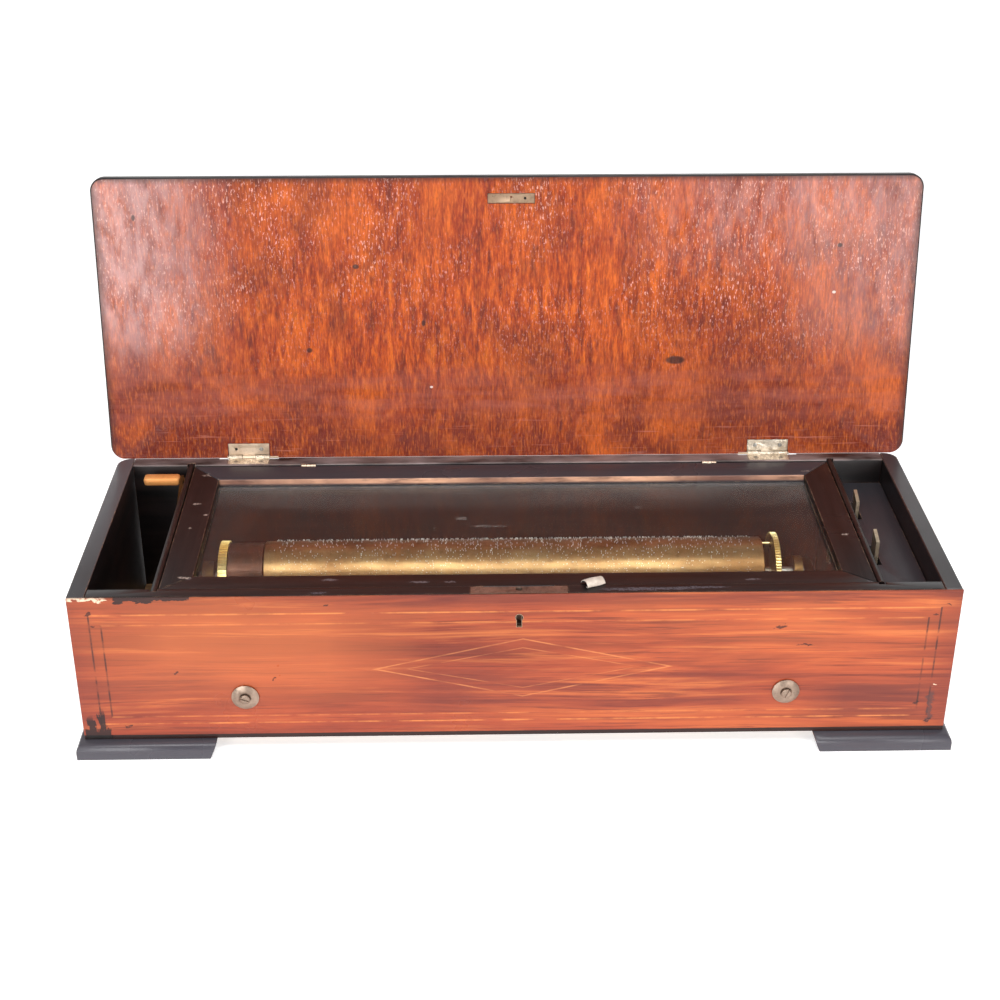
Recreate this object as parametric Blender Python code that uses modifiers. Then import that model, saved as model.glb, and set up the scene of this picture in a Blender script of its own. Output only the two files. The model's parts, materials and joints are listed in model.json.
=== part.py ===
"""A lever-wound cylinder music box with its lid open.

The wooden case holds two end compartments and a glazed inner lid between them. Under the
glass a spring barrel turns a pinned cylinder against a comb, and a governor slows it down.
Metres, +Z up, +X to the right, the front of the case faces -Y. The origin lies on the ground
in the middle of the box that holds the whole object as it stands open.
"""

import math

import bmesh
import bpy
from mathutils import Matrix, Vector

# Fits
seat_gap = 0.0003
running_gap = 0.0001
cut_overrun = 0.002

# Case
case_width = 0.560
case_depth = 0.192
case_height = 0.107
wall_thickness = 0.011
veneer_thickness = 0.0012
bottom_thickness = 0.009
back_corner_radius = 0.0095
panel_edge = 0.0006
housing_depth = 0.003

# Feet
foot_height = 0.0115
foot_front_proud = 0.0072
foot_side_proud = 0.0050
foot_front_length = 0.091
foot_side_length = 0.072
foot_breadth = 0.021
foot_edge_round = 0.0055
foot_end_slant = 0.0045

# Compartments
winding_compartment_width = 0.0395
control_compartment_width = 0.036
partition_thickness = 0.0045
control_partition_short = 0.0035
control_depth = 0.0187
control_floor_thickness = 0.005

# Lid
lid_side_overhang = 0.0055
lid_front_overhang = 0.0085
lid_thickness = 0.0105
lid_gap = 0.0006
lid_corner_radius = 0.0095
lid_edge_round = 0.0042
lid_under_round = 0.0010
lid_open_angle = math.radians(98.4)

# Lid hinges
hinge_width = 0.029
hinge_leaf_depth = 0.0100
hinge_leaf_thickness = 0.0011
hinge_knuckle_radius = 0.0017
hinge_pin_radius = 0.0008
hinge_pin_proud = 0.0065
hinge_pin_end = 0.0012
hinge_end_inset = 0.0785
hinge_screw_radius = 0.0011
hinge_screw_inset = 0.0055
hinge_screw_share = 0.6

# Glazed inner lid
frame_thickness = 0.010
frame_sink = 0.0008
frame_clearance = 0.0006
frame_back_gap = 0.0012
frame_stile_width = 0.0195
frame_front_width = 0.0155
frame_back_width = 0.0205
frame_edge = 0.0005
mitre_gap = 0.0004
glass_thickness = 0.0020
glass_drop = 0.0055
glass_groove = 0.0045
rest_height = 0.008
rest_breadth = 0.006
glass_hinge_width = 0.010
glass_hinge_inset = 0.1365
glass_knuckle_radius = 0.0012
glass_pin_radius = 0.0006
glass_leaf_thickness = 0.0008
glass_leaf_height = 0.0075

# Ribbon tab on the inner lid
tab_width = 0.0155
tab_length = 0.0120
tab_thickness = 0.0007
tab_offset = 0.0465

# Lock and its catch on the lid
lock_offset = 0.0015
lock_width = 0.044
lock_height = 0.027
lock_thickness = 0.0074
selvedge_length = 0.061
selvedge_breadth = 0.0078
selvedge_thickness = 0.0016
selvedge_front = 0.0018
staple_from_front = 0.0068
staple_hole_radius = 0.0022
staple_pocket_depth = 0.0085
staple_width = 0.0034
staple_thickness = 0.0015
staple_length = 0.0070
bolt_breadth = 0.0012
bolt_height = 0.0022
bolt_length = 0.013
bolt_travel = 0.0045
bolt_depth = 0.0026
catch_length = 0.0320
catch_breadth = 0.0064
catch_thickness = 0.0012
catch_screw_radius = 0.0010
catch_screw_offset = 0.0095
keyhole_radius = 0.0024
keyhole_slot = 0.0032
keyhole_length = 0.0092
keyhole_drop = 0.0170

# Bedplate and the two bolts that hold it to the front
bedplate_thickness = 0.010
bedplate_back_gap = 0.0207
bedplate_end_gap = 0.0100
bedplate_leg_width = 0.022
bedplate_leg_depth = 0.016
bolt_inset = 0.1062
fixing_shank_radius = 0.0024
fixing_head_radius = 0.0034
fixing_head_height = 0.0014
fixing_slot_width = 0.0009
fixing_slot_depth = 0.0008
fixing_slot_turns = {"left": math.radians(-20), "right": math.radians(68)}
fixing_face_share = 0.8
fixing_reach = 0.012
washer_radius = 0.0088
washer_crown_radius = 0.0048
washer_rim_height = 0.0007
washer_height = 0.0023

# Cylinder and its arbor
cylinder_radius = 0.0235
pin_length = 0.0010
cylinder_wall = 0.0015
cylinder_cap = 0.0030
cylinder_arbor_radius = 0.0030
arbor_end_proud = 0.002
cylinder_bed_clearance = 0.0070
tune_gap = 0.0070
great_wheel_thickness = 0.0036
great_wheel_module = 0.00065
great_wheel_teeth = 80
great_wheel_bay = 0.050
right_bridge_gap = 0.0116
right_bridge_thickness = 0.006
right_bridge_front = 0.010
mechanism_clearance = 0.0007
drive_pin_radius = 0.0010
drive_pin_offset = 0.0190
drive_pin_angle = math.radians(62)

# Tune change
snail_radius = 0.0085
snail_bore = 0.0021
snail_offset = 0.0140
snail_steps = 6
snail_step = 0.00042
snail_columns = 4
snail_base = 0.0014
follower_radius = 0.0012
follower_reach = 0.0065

# Spring barrel and winding work
barrel_radius = 0.0226
barrel_width = 0.0233
barrel_wall = 0.0016
barrel_cap = 0.0028
spring_turns = 6
spring_strip = 0.0006
winding_arbor_radius = 0.0035
spring_core_radius = 0.0060
ratchet_radius = 0.0240
ratchet_thickness = 0.0059
ratchet_tooth_depth = 0.0010
ratchet_teeth = 60
ratchet_toward = math.radians(-66)
ratchet_bridge_gap = 0.0045
bridge_thickness = 0.008
bridge_offset = 0.016
bridge_head_radius = 0.0105
bridge_foot_narrow = 0.020
bridge_foot_wide = 0.034
bridge_shoulder = 0.016
click_pivot_out = 0.0066
click_pivot_angle = math.radians(-33)
click_pivot_radius = 0.0015
click_hub_radius = 0.0032
click_width = 0.0026
click_hub_opening = 40
click_tip_gap = 0.00036
click_throat_gap = 0.00039
click_throat_teeth = 1.3
click_neck_share = 0.8

# Winding lever
lever_partition_gap = 0.0010
lever_thickness = 0.0022
lever_hub_radius = 0.009
lever_hub_extra = 0.0015
lever_arm_width = 0.0065
handle_length = 0.0255
handle_depth = 0.0085
handle_height = 0.0065
handle_edge = 0.0022
handle_back_clearance = 0.0150
handle_drop = 0.0038
handle_spigot_radius = 0.0018

# Comb
comb_front_gap = 0.0110
comb_length = 0.0412
comb_thickness = 0.0022
comb_tip_gap = 0.0004
comb_tooth_length = 0.0280
comb_slot = 0.0006
comb_teeth = 96
comb_end_margin = 0.004
comb_base_depth = 0.0125
comb_base_edge = 0.0003

# Gear teeth: depth below the pitch circle in modules, widths in tooth pitches
gear_root_share = 1.2
gear_foot_share = 0.55
gear_tip_share = 0.24

# Governor
first_pinion_teeth = 12
first_pinion_width = 0.0052
first_wheel_teeth = 30
second_pinion_teeth = 10
worm_wheel_teeth = 20
worm_starts = 2
train_module = 0.0006
train_wheel_thickness = 0.0022
train_mesh_slack = 0.0002
train_arbor_radius = 0.0011
worm_radius = 0.0017
worm_thread = 0.0004
worm_turns = 2
governor_plate = 0.0020
governor_plate_gap = 0.0140
governor_wheel_gap = 0.0024
governor_foot_thickness = 0.0040
governor_front_margin = 0.0040
governor_back_margin = 0.0044
governor_cock_thickness = 0.0025
governor_cock_height = 0.0115
fan_radius = 0.0085
fan_height = 0.0090
fan_thickness = 0.0006
fan_gap = 0.0009
first_arbor_drop = math.radians(20)
second_arbor_rise = math.radians(15)

# Control levers
control_lever_thickness = 0.0023
control_lever_width = 0.0115
control_lever_offset = 0.0078
control_pivot_drop = 0.0270
control_stud_radius = 0.0020
control_hub_radius = 0.0052
control_hub_opening = 60
control_arm_length = 0.016
control_swing = math.radians(12)
start_lever_from_back = 0.0530
start_lever_height = 0.0135
control_lever_spacing = 0.0625
repeat_lever_height = 0.0168
control_slot_extra = 0.0012
control_top_slant = 0.0035

# Places worked out from the sizes above
rim_z = foot_height + case_height
left_x = -case_width / 2
right_x = case_width / 2
inner_left_x = left_x + wall_thickness
inner_right_x = right_x - wall_thickness
lid_length = case_depth + lid_front_overhang
lid_tilt = lid_open_angle - math.radians(90)
lid_hinge_height = lid_gap / 2
rest_back = (
    case_depth
    + (lid_length - lid_edge_round) * math.sin(lid_tilt)
    + (lid_hinge_height + lid_thickness) * math.cos(lid_tilt)
)
front_y = -(rest_back - foot_front_proud) / 2
back_y = front_y + case_depth
inner_front_y = front_y + wall_thickness
inner_back_y = back_y - wall_thickness
panel_front_y = front_y + veneer_thickness + seat_gap
floor_top_z = foot_height + bottom_thickness

winding_partition_x = inner_left_x + winding_compartment_width
bay_left_x = winding_partition_x + partition_thickness
control_partition_x = inner_right_x - control_compartment_width
bay_right_x = control_partition_x - partition_thickness
left_bridge_x = bay_left_x + bridge_offset
ratchet_x = left_bridge_x + bridge_thickness + ratchet_bridge_gap
barrel_x = ratchet_x + ratchet_thickness + seat_gap
barrel_end_x = barrel_x + barrel_width
cylinder_x = barrel_end_x + 2 * seat_gap
great_wheel_end_x = bay_right_x - great_wheel_bay
great_wheel_x = great_wheel_end_x - great_wheel_thickness
cylinder_end_x = great_wheel_x - tune_gap
right_bridge_x = great_wheel_end_x + right_bridge_gap

great_wheel_radius = great_wheel_module * great_wheel_teeth / 2
frame_top_z = rim_z - frame_sink
frame_low_z = frame_top_z - frame_thickness
axis_z = frame_low_z - mechanism_clearance - great_wheel_radius - great_wheel_module
bedplate_top_z = axis_z - cylinder_radius - pin_length - cylinder_bed_clearance
bedplate_low_z = bedplate_top_z - bedplate_thickness
bedplate_mid_z = bedplate_low_z + bedplate_thickness / 2
comb_front_y = inner_front_y + comb_front_gap
comb_tip_y = comb_front_y + comb_length
axis_y = comb_tip_y + comb_tip_gap + pin_length + cylinder_radius
hinge_y = back_y
hinge_z = rim_z + lid_hinge_height
lid_under_z = rim_z + lid_gap
lock_x = lock_offset
staple_y = front_y + staple_from_front
bolt_z = rim_z - selvedge_thickness - bolt_depth

frame_left_x = bay_left_x + frame_clearance
frame_right_x = bay_right_x - frame_clearance
frame_front_y = inner_front_y + frame_clearance
frame_back_y = inner_back_y - frame_back_gap
glass_hinge_y = (frame_back_y + inner_back_y) / 2
glass_hinge_z = rim_z - glass_knuckle_radius
glass_top_z = frame_top_z - glass_drop

first_centre = (great_wheel_teeth + first_pinion_teeth) * great_wheel_module / 2 + train_mesh_slack
second_centre = (first_wheel_teeth + second_pinion_teeth) * train_module / 2 + train_mesh_slack
first_arbor_y = axis_y - first_centre * math.cos(first_arbor_drop)
first_arbor_z = axis_z - first_centre * math.sin(first_arbor_drop)
second_arbor_y = first_arbor_y - second_centre * math.cos(second_arbor_rise)
second_arbor_z = first_arbor_z + second_centre * math.sin(second_arbor_rise)
worm_wheel_radius = worm_wheel_teeth * train_module / 2
spindle_y = second_arbor_y - worm_wheel_radius - train_module - train_mesh_slack - worm_radius
governor_x = great_wheel_end_x + governor_wheel_gap
governor_inner_x = governor_x + governor_plate
governor_end_x = governor_inner_x + governor_plate_gap
first_wheel_x = governor_inner_x + seat_gap * 2
worm_wheel_x = governor_end_x - governor_plate_gap / 2
spindle_x = worm_wheel_x + train_wheel_thickness / 2
cock_top_z = second_arbor_z + governor_cock_height
spindle_low_z = bedplate_top_z + governor_foot_thickness / 2

lever_x = winding_partition_x - lever_partition_gap - lever_thickness
handle_y = inner_back_y - handle_back_clearance
handle_z = rim_z - handle_drop
control_floor_z = rim_z - control_depth
control_pivot_z = control_floor_z - control_pivot_drop
control_lever_x = control_partition_x + control_lever_offset
start_lever_y = back_y - start_lever_from_back
repeat_lever_y = start_lever_y - control_lever_spacing

# Colour, roughness and metallic value of each finish
finishes = {
    "ebonised_wood": ((0.022, 0.017, 0.017), 0.38, 0.0),
    "veneer": ((0.46, 0.13, 0.06), 0.35, 0.0),
    "stained_wood": ((0.24, 0.07, 0.04), 0.42, 0.0),
    "lid_wood": ((0.36, 0.075, 0.022), 0.28, 0.0),
    "bare_wood": ((0.45, 0.30, 0.19), 0.6, 0.0),
    "brass": ((0.62, 0.44, 0.17), 0.32, 1.0),
    "bright_brass": ((0.74, 0.55, 0.24), 0.24, 1.0),
    "hinge_metal": ((0.60, 0.52, 0.38), 0.30, 1.0),
    "steel": ((0.45, 0.44, 0.42), 0.30, 1.0),
    "blued_steel": ((0.16, 0.13, 0.12), 0.30, 1.0),
    "washer_metal": ((0.33, 0.27, 0.21), 0.40, 1.0),
    "gilt_iron": ((0.42, 0.31, 0.13), 0.45, 1.0),
    "glass": ((0.90, 0.94, 0.93), 0.03, 0.0),
    "ribbon": ((0.75, 0.71, 0.66), 0.8, 0.0),
}


def clear_scene():
    for old in list(bpy.data.objects):
        bpy.data.objects.remove(old, do_unlink=True)
    for old in list(bpy.data.collections):
        bpy.data.collections.remove(old)


def new_collection(name):
    group = bpy.data.collections.new(name)
    bpy.context.scene.collection.children.link(group)
    return group


clear_scene()
parts = new_collection("cylinder_music_box")
cutters = new_collection("cutters")


def finish_named(name):
    """The material of a finish, made the first time that it is asked for."""
    made = bpy.data.materials.get(name)
    if made:
        return made
    colour, roughness, metallic = finishes[name]
    made = bpy.data.materials.new(name)
    made.use_nodes = True
    shader = made.node_tree.nodes["Principled BSDF"]
    shader.inputs["Base Color"].default_value = (*colour, 1.0)
    shader.inputs["Roughness"].default_value = roughness
    shader.inputs["Metallic"].default_value = metallic
    return made


def add_object(name, mesh, matrix, finish):
    """A part where it has a finish, and otherwise a cutter or a piece to be joined to a part."""
    obj = bpy.data.objects.new(name, mesh)
    obj.matrix_world = matrix
    if finish:
        mesh.materials.append(finish_named(finish))
        parts.objects.link(obj)
    else:
        cutters.objects.link(obj)
        obj.hide_render = True
        obj.display_type = "WIRE"
    return obj


def mesh_from(bm, name):
    mesh = bpy.data.meshes.new(name)
    bm.to_mesh(mesh)
    bm.free()
    mesh.shade_smooth()
    mesh.set_sharp_from_angle(angle=math.radians(35))
    return mesh


def facing(axis, origin):
    """A frame at the origin whose local Z points along +X, -Y or +Z, for flat and turned work.

    Facing X, local X is world Y and local Y is world Z. Facing -Y, local X is world X and
    local Y is world Z.
    """
    columns = {
        "+X": ((0, 1, 0), (0, 0, 1), (1, 0, 0)),
        "-Y": ((1, 0, 0), (0, 0, 1), (0, -1, 0)),
        "+Z": ((1, 0, 0), (0, 1, 0), (0, 0, 1)),
    }[axis]
    turn = Matrix(columns).transposed().to_4x4()
    return Matrix.Translation(origin) @ turn


def block(name, low, high, finish=None, edge=0.0):
    """A box between two corners, with its edges rounded by a bevel where edge is given."""
    low, high = Vector(low), Vector(high)
    bm = bmesh.new()
    bmesh.ops.create_cube(bm, size=1.0)
    bmesh.ops.scale(bm, vec=high - low, verts=bm.verts)
    obj = add_object(name, mesh_from(bm, name), Matrix.Translation((low + high) / 2), finish)
    if edge:
        add_bevel(obj, edge)
    return obj


def add_bevel(obj, width, segments=2):
    bevel = obj.modifiers.new("edges", "BEVEL")
    bevel.width = width
    bevel.segments = segments
    bevel.limit_method = "ANGLE"
    bevel.angle_limit = math.radians(50)


def rod(name, start, end, radius, finish=None, sides=24):
    """A round bar from start to end."""
    start, end = Vector(start), Vector(end)
    along = end - start
    bm = bmesh.new()
    bmesh.ops.create_cone(
        bm,
        cap_ends=True,
        segments=sides,
        radius1=radius,
        radius2=radius,
        depth=along.length,
    )
    matrix = Matrix.Translation((start + end) / 2) @ along.to_track_quat("Z", "Y").to_matrix().to_4x4()
    return add_object(name, mesh_from(bm, name), matrix, finish)


def as_mesh(obj, finish):
    """The object's evaluated shape as a plain welded mesh in its place."""
    bpy.context.view_layer.update()
    graph = bpy.context.evaluated_depsgraph_get()
    mesh = bpy.data.meshes.new_from_object(obj.evaluated_get(graph))
    name, matrix = obj.name, obj.matrix_world.copy()
    bpy.data.objects.remove(obj, do_unlink=True)
    bm = bmesh.new()
    bm.from_mesh(mesh)
    bpy.data.meshes.remove(mesh)
    bmesh.ops.remove_doubles(bm, verts=bm.verts, dist=seat_gap / 100)
    bmesh.ops.recalc_face_normals(bm, faces=bm.faces)
    return add_object(name, mesh_from(bm, name), matrix, finish)


def plate(name, outlines, thickness, matrix, finish=None):
    """A flat piece: the first outline is its edge and any others are holes in it.

    It reaches half its thickness to each side of the plane of the matrix.
    """
    curve = bpy.data.curves.new(name, "CURVE")
    curve.dimensions = "2D"
    curve.fill_mode = "BOTH"
    curve.extrude = thickness / 2
    for outline in outlines:
        spline = curve.splines.new("POLY")
        spline.points.add(len(outline) - 1)
        for point, (u, v) in zip(spline.points, outline):
            point.co = (u, v, 0, 1)
        spline.use_cyclic_u = True
    return as_mesh(add_object(name, curve, matrix, None), finish)


def turned(name, profile, matrix, finish=None, steps=32, closed=False):
    """A profile of (radius, height) points turned round local Z. It runs down its outer side."""
    mesh = bpy.data.meshes.new(name)
    edges = [(i, i + 1) for i in range(len(profile) - 1)]
    if closed:
        edges.append((len(profile) - 1, 0))
    mesh.from_pydata([(radius, 0, height) for radius, height in profile], edges, [])
    obj = add_object(name, mesh, matrix, None)
    screw = obj.modifiers.new("turn", "SCREW")
    screw.axis = "Z"
    screw.steps = steps
    screw.render_steps = steps
    screw.use_merge_vertices = True
    screw.merge_threshold = seat_gap / 100
    return as_mesh(obj, finish)


def polar(radius, angle):
    return (radius * math.cos(angle), radius * math.sin(angle))


def circle(radius, sides=24):
    return [polar(radius, 2 * math.pi * i / sides) for i in range(sides)]


def arc(radius, start, end, steps, centre=(0, 0)):
    """Points along an arc, with both ends, its angles in degrees."""
    angles = [math.radians(start + (end - start) * i / steps) for i in range(steps + 1)]
    return [(centre[0] + radius * math.cos(a), centre[1] + radius * math.sin(a)) for a in angles]


def rounded_rectangle(low, high, radius, steps=5):
    left, bottom = low[0] + radius, low[1] + radius
    right, top = high[0] - radius, high[1] - radius
    return (
        arc(radius, 180, 270, steps, (left, bottom))
        + arc(radius, 270, 360, steps, (right, bottom))
        + arc(radius, 0, 90, steps, (right, top))
        + arc(radius, 90, 180, steps, (left, top))
    )


def gear_outline(teeth, module, toward):
    """Straight-sided teeth on a pitch circle, one of them centred on the angle toward."""
    pitch = 2 * math.pi / teeth
    radius = teeth * module / 2
    root, tip = radius - gear_root_share * module, radius + module
    root_half, tip_half = pitch * gear_foot_share / 2, pitch * gear_tip_share / 2
    points = []
    for i in range(teeth):
        middle = toward + i * pitch
        for reach, turn in (
            (root, -root_half),
            (tip, -tip_half),
            (tip, tip_half),
            (root, root_half),
        ):
            points.append(polar(reach, middle + turn))
    return points


def ratchet_outline(teeth, radius, depth, toward):
    """Saw teeth, with the foot of one steep face at the angle toward."""
    pitch = 2 * math.pi / teeth
    points = []
    for i in range(teeth):
        angle = toward + i * pitch
        points += [polar(radius, angle), polar(radius - depth, angle)]
    return points


def boolean(obj, others, operation):
    for other in others:
        step = obj.modifiers.new(operation.lower(), "BOOLEAN")
        step.operation = operation
        step.object = other
        step.solver = "EXACT"


def cut(obj, *others):
    boolean(obj, others, "DIFFERENCE")


def join(obj, *others):
    boolean(obj, others, "UNION")


def pivot(name, place):
    empty = bpy.data.objects.new(name, None)
    empty.location = place
    parts.objects.link(empty)
    bpy.context.view_layer.update()
    return empty


def hang_on(empty, *objects):
    """Parents objects, with all that cuts or joins them, to the empty on their joint's axis."""
    for obj in objects:
        helpers = [step.object for step in obj.modifiers if step.type == "BOOLEAN"]
        for child in [obj, *helpers]:
            if child.parent:
                continue
            child.parent = empty
            child.matrix_parent_inverse = empty.matrix_world.inverted()


def keyhole_outline(grow):
    """A round head with a straight slot below it, in the plane of the front."""
    radius = keyhole_radius + grow
    half = keyhole_slot / 2 + grow
    low = -(keyhole_length - keyhole_radius) - grow
    start = math.degrees(math.asin(half / radius))
    return arc(radius, start - 90, 270 - start, 14) + [(-half, low), (half, low)]


def make_case():
    low_z, high_z = foot_height, rim_z
    front = block(
        "case_front_panel",
        (inner_left_x + seat_gap, panel_front_y, low_z),
        (inner_right_x - seat_gap, inner_front_y, high_z),
        "ebonised_wood",
        panel_edge,
    )
    back = block(
        "case_back_panel",
        (inner_left_x + seat_gap, inner_back_y, low_z),
        (inner_right_x - seat_gap, back_y, high_z),
        "ebonised_wood",
        panel_edge,
    )
    for name, side in (("case_end_left", -1), ("case_end_right", 1)):
        inner, outer = side * inner_right_x, side * right_x
        corner = (outer - side * back_corner_radius, back_y - back_corner_radius)
        sweep = arc(back_corner_radius, 0, 90, 5)
        outline = [(inner, panel_front_y), (outer, panel_front_y)]
        outline += [(corner[0] + side * u, corner[1] + v) for u, v in sweep]
        outline.append((inner, back_y))
        end = plate(
            name, [outline], case_height, facing("+Z", (0, 0, (low_z + high_z) / 2)), "stained_wood"
        )
        add_bevel(end, panel_edge, 1)
    block(
        "case_bottom",
        (inner_left_x + seat_gap, inner_front_y + seat_gap, low_z),
        (inner_right_x - seat_gap, inner_back_y - seat_gap, floor_top_z),
        "bare_wood",
    )
    veneer = block(
        "front_veneer",
        (left_x, front_y, low_z),
        (right_x, front_y + veneer_thickness, high_z),
        "veneer",
        veneer_thickness / 4,
    )
    keyhole = plate(
        "keyhole_cutter",
        [keyhole_outline(0)],
        2 * (wall_thickness + cut_overrun),
        facing("-Y", (lock_x, front_y, rim_z - keyhole_drop)),
    )
    cut(veneer, keyhole)
    cut(front, keyhole)
    return front, back, veneer


def make_feet():
    for x_name, x_side in (("left", -1), ("right", 1)):
        for y_name, y_side, face_y in (("front", -1, front_y), ("back", 1, back_y)):
            outer_x = x_side * (right_x + foot_side_proud)
            outer_y = face_y + y_side * foot_front_proud
            end_x = outer_x - x_side * foot_front_length
            end_y = outer_y - y_side * foot_side_length
            inner_x = outer_x - x_side * foot_breadth
            inner_y = outer_y - y_side * foot_breadth
            outline = [
                (outer_x, outer_y),
                (end_x, outer_y),
                (end_x, inner_y),
                (inner_x, inner_y),
                (inner_x, end_y),
                (outer_x, end_y),
            ]
            foot = plate(
                f"foot_{y_name}_{x_name}",
                [outline],
                foot_height - seat_gap,
                facing("+Z", (0, 0, (foot_height - seat_gap) / 2)),
                "ebonised_wood",
            )
            shape_foot(foot.data, (outer_x, outer_y), (end_x, end_y), (x_side, y_side))


def shape_foot(mesh, outer, ends, sides):
    """Slants the two ends of a foot under and rounds its outer upper edges."""
    bm = bmesh.new()
    bm.from_mesh(mesh)
    tiny = seat_gap / 10
    for vert in bm.verts:
        if vert.co.z < 0:
            for i in (0, 1):
                if abs(vert.co[i] - ends[i]) < tiny:
                    vert.co[i] += sides[i] * foot_end_slant
    rounded = []
    for edge in bm.edges:
        high = all(vert.co.z > 0 for vert in edge.verts)
        outside = any(all(abs(vert.co[i] - outer[i]) < tiny for vert in edge.verts) for i in (0, 1))
        if high and outside:
            rounded.append(edge)
    bmesh.ops.bevel(
        bm, geom=rounded, offset=foot_edge_round, segments=4, profile=0.5, affect="EDGES"
    )
    bm.to_mesh(mesh)
    bm.free()
    mesh.shade_smooth()
    mesh.set_sharp_from_angle(angle=math.radians(35))


def partition(name, x, front_short, front, back):
    """A thin board with a round top edge, let into the front and the back of the case."""
    half = partition_thickness / 2
    low, high = floor_top_z + seat_gap, rim_z
    start = inner_front_y - housing_depth + seat_gap + front_short
    end = inner_back_y + housing_depth - seat_gap
    outline = [(-half, low), (half, low)] + arc(half, 0, 180, 8, (0, high - half))
    board = plate(
        name,
        [outline],
        end - start,
        facing("-Y", (x + half, (start + end) / 2, 0)),
        "ebonised_wood",
    )
    low_cut = floor_top_z
    for panel, panel_y, reach in (
        (front, inner_front_y, (-housing_depth, cut_overrun)),
        (back, inner_back_y, (-cut_overrun, housing_depth)),
    ):
        housing = block(
            f"{name}_housing_{panel.name}",
            (x - seat_gap, panel_y + reach[0], low_cut),
            (x + partition_thickness + seat_gap, panel_y + reach[1], rim_z + cut_overrun),
        )
        cut(panel, housing)
    return board


def make_partitions(front, back):
    winding = partition("winding_partition", winding_partition_x, 0, front, back)
    cut(
        winding,
        rod(
            "winding_arbor_hole",
            (winding_partition_x - cut_overrun, axis_y, axis_z),
            (bay_left_x + cut_overrun, axis_y, axis_z),
            winding_arbor_radius + 2 * seat_gap,
        ),
    )
    control = partition("control_partition", bay_right_x, control_partition_short, front, back)
    floor = block(
        "control_floor",
        (
            control_partition_x + seat_gap,
            inner_front_y + seat_gap,
            control_floor_z - control_floor_thickness,
        ),
        (inner_right_x - seat_gap, inner_back_y - seat_gap, control_floor_z),
        "ebonised_wood",
    )
    reach = control_pivot_drop * math.tan(control_swing) + control_lever_width / 2
    for name, middle_y in (("start", start_lever_y), ("repeat", repeat_lever_y)):
        cut(
            floor,
            block(
                f"{name}_lever_slot",
                (
                    control_lever_x - control_slot_extra,
                    middle_y - reach - control_slot_extra,
                    control_floor_z - control_floor_thickness - cut_overrun,
                ),
                (
                    control_lever_x + control_lever_thickness + control_slot_extra,
                    middle_y + reach + control_slot_extra,
                    control_floor_z + cut_overrun,
                ),
            ),
        )
        cut(
            control,
            rod(
                f"{name}_lever_hole",
                (bay_right_x - cut_overrun, middle_y, control_pivot_z),
                (control_partition_x + cut_overrun, middle_y, control_pivot_z),
                control_stud_radius + running_gap,
                sides=16,
            ),
        )


def make_lock(front):
    """The lock is let into the inside of the front, with its plate flush with the rim."""
    pocket_back_y = inner_front_y
    case_front_y = inner_front_y - lock_thickness
    top_z = rim_z
    body = block(
        "lock_case",
        (lock_x - lock_width / 2, case_front_y, top_z - lock_height),
        (lock_x + lock_width / 2, pocket_back_y, top_z - selvedge_thickness / 2),
        "steel",
    )
    selvedge_y = front_y + selvedge_front
    selvedge = block(
        "lock_selvedge",
        (lock_x - selvedge_length / 2, selvedge_y, top_z - selvedge_thickness),
        (lock_x + selvedge_length / 2, selvedge_y + selvedge_breadth, top_z),
    )
    join(body, selvedge)
    bolt_half = Vector((0, bolt_breadth / 2, bolt_height / 2))
    channel_half = bolt_half + Vector((0, seat_gap, seat_gap))
    bolt_tip_x = lock_x - staple_hole_radius - seat_gap
    staple_pocket = rod(
        "staple_pocket",
        (lock_x, staple_y, top_z - staple_pocket_depth),
        (lock_x, staple_y, top_z + cut_overrun),
        staple_hole_radius,
        sides=20,
    )
    channel = block(
        "bolt_channel",
        Vector((bolt_tip_x - bolt_length - seat_gap, staple_y, bolt_z)) - channel_half,
        Vector((bolt_tip_x + bolt_travel + cut_overrun, staple_y, bolt_z)) + channel_half,
    )
    key_way = plate(
        "key_way",
        [keyhole_outline(-seat_gap)],
        lock_thickness,
        facing("-Y", (lock_x, case_front_y, rim_z - keyhole_drop)),
    )
    cut(body, staple_pocket, channel, key_way)
    bolt = block(
        "lock_bolt",
        Vector((bolt_tip_x - bolt_length, staple_y, bolt_z)) - bolt_half,
        Vector((bolt_tip_x, staple_y, bolt_z)) + bolt_half,
        "steel",
    )
    hang_on(pivot("lock_bolt_guide", (bolt_tip_x, staple_y, bolt_z)), bolt)
    cut(
        front,
        block(
            "lock_mortise",
            (
                lock_x - lock_width / 2 - seat_gap,
                case_front_y - seat_gap,
                top_z - lock_height - seat_gap,
            ),
            (lock_x + lock_width / 2 + seat_gap, pocket_back_y + cut_overrun, top_z + cut_overrun),
        ),
        block(
            "selvedge_mortise",
            (
                lock_x - selvedge_length / 2 - seat_gap,
                selvedge_y - seat_gap,
                top_z - selvedge_thickness - seat_gap,
            ),
            (
                lock_x + selvedge_length / 2 + seat_gap,
                selvedge_y + selvedge_breadth + seat_gap,
                top_z + cut_overrun,
            ),
        ),
    )


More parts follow.
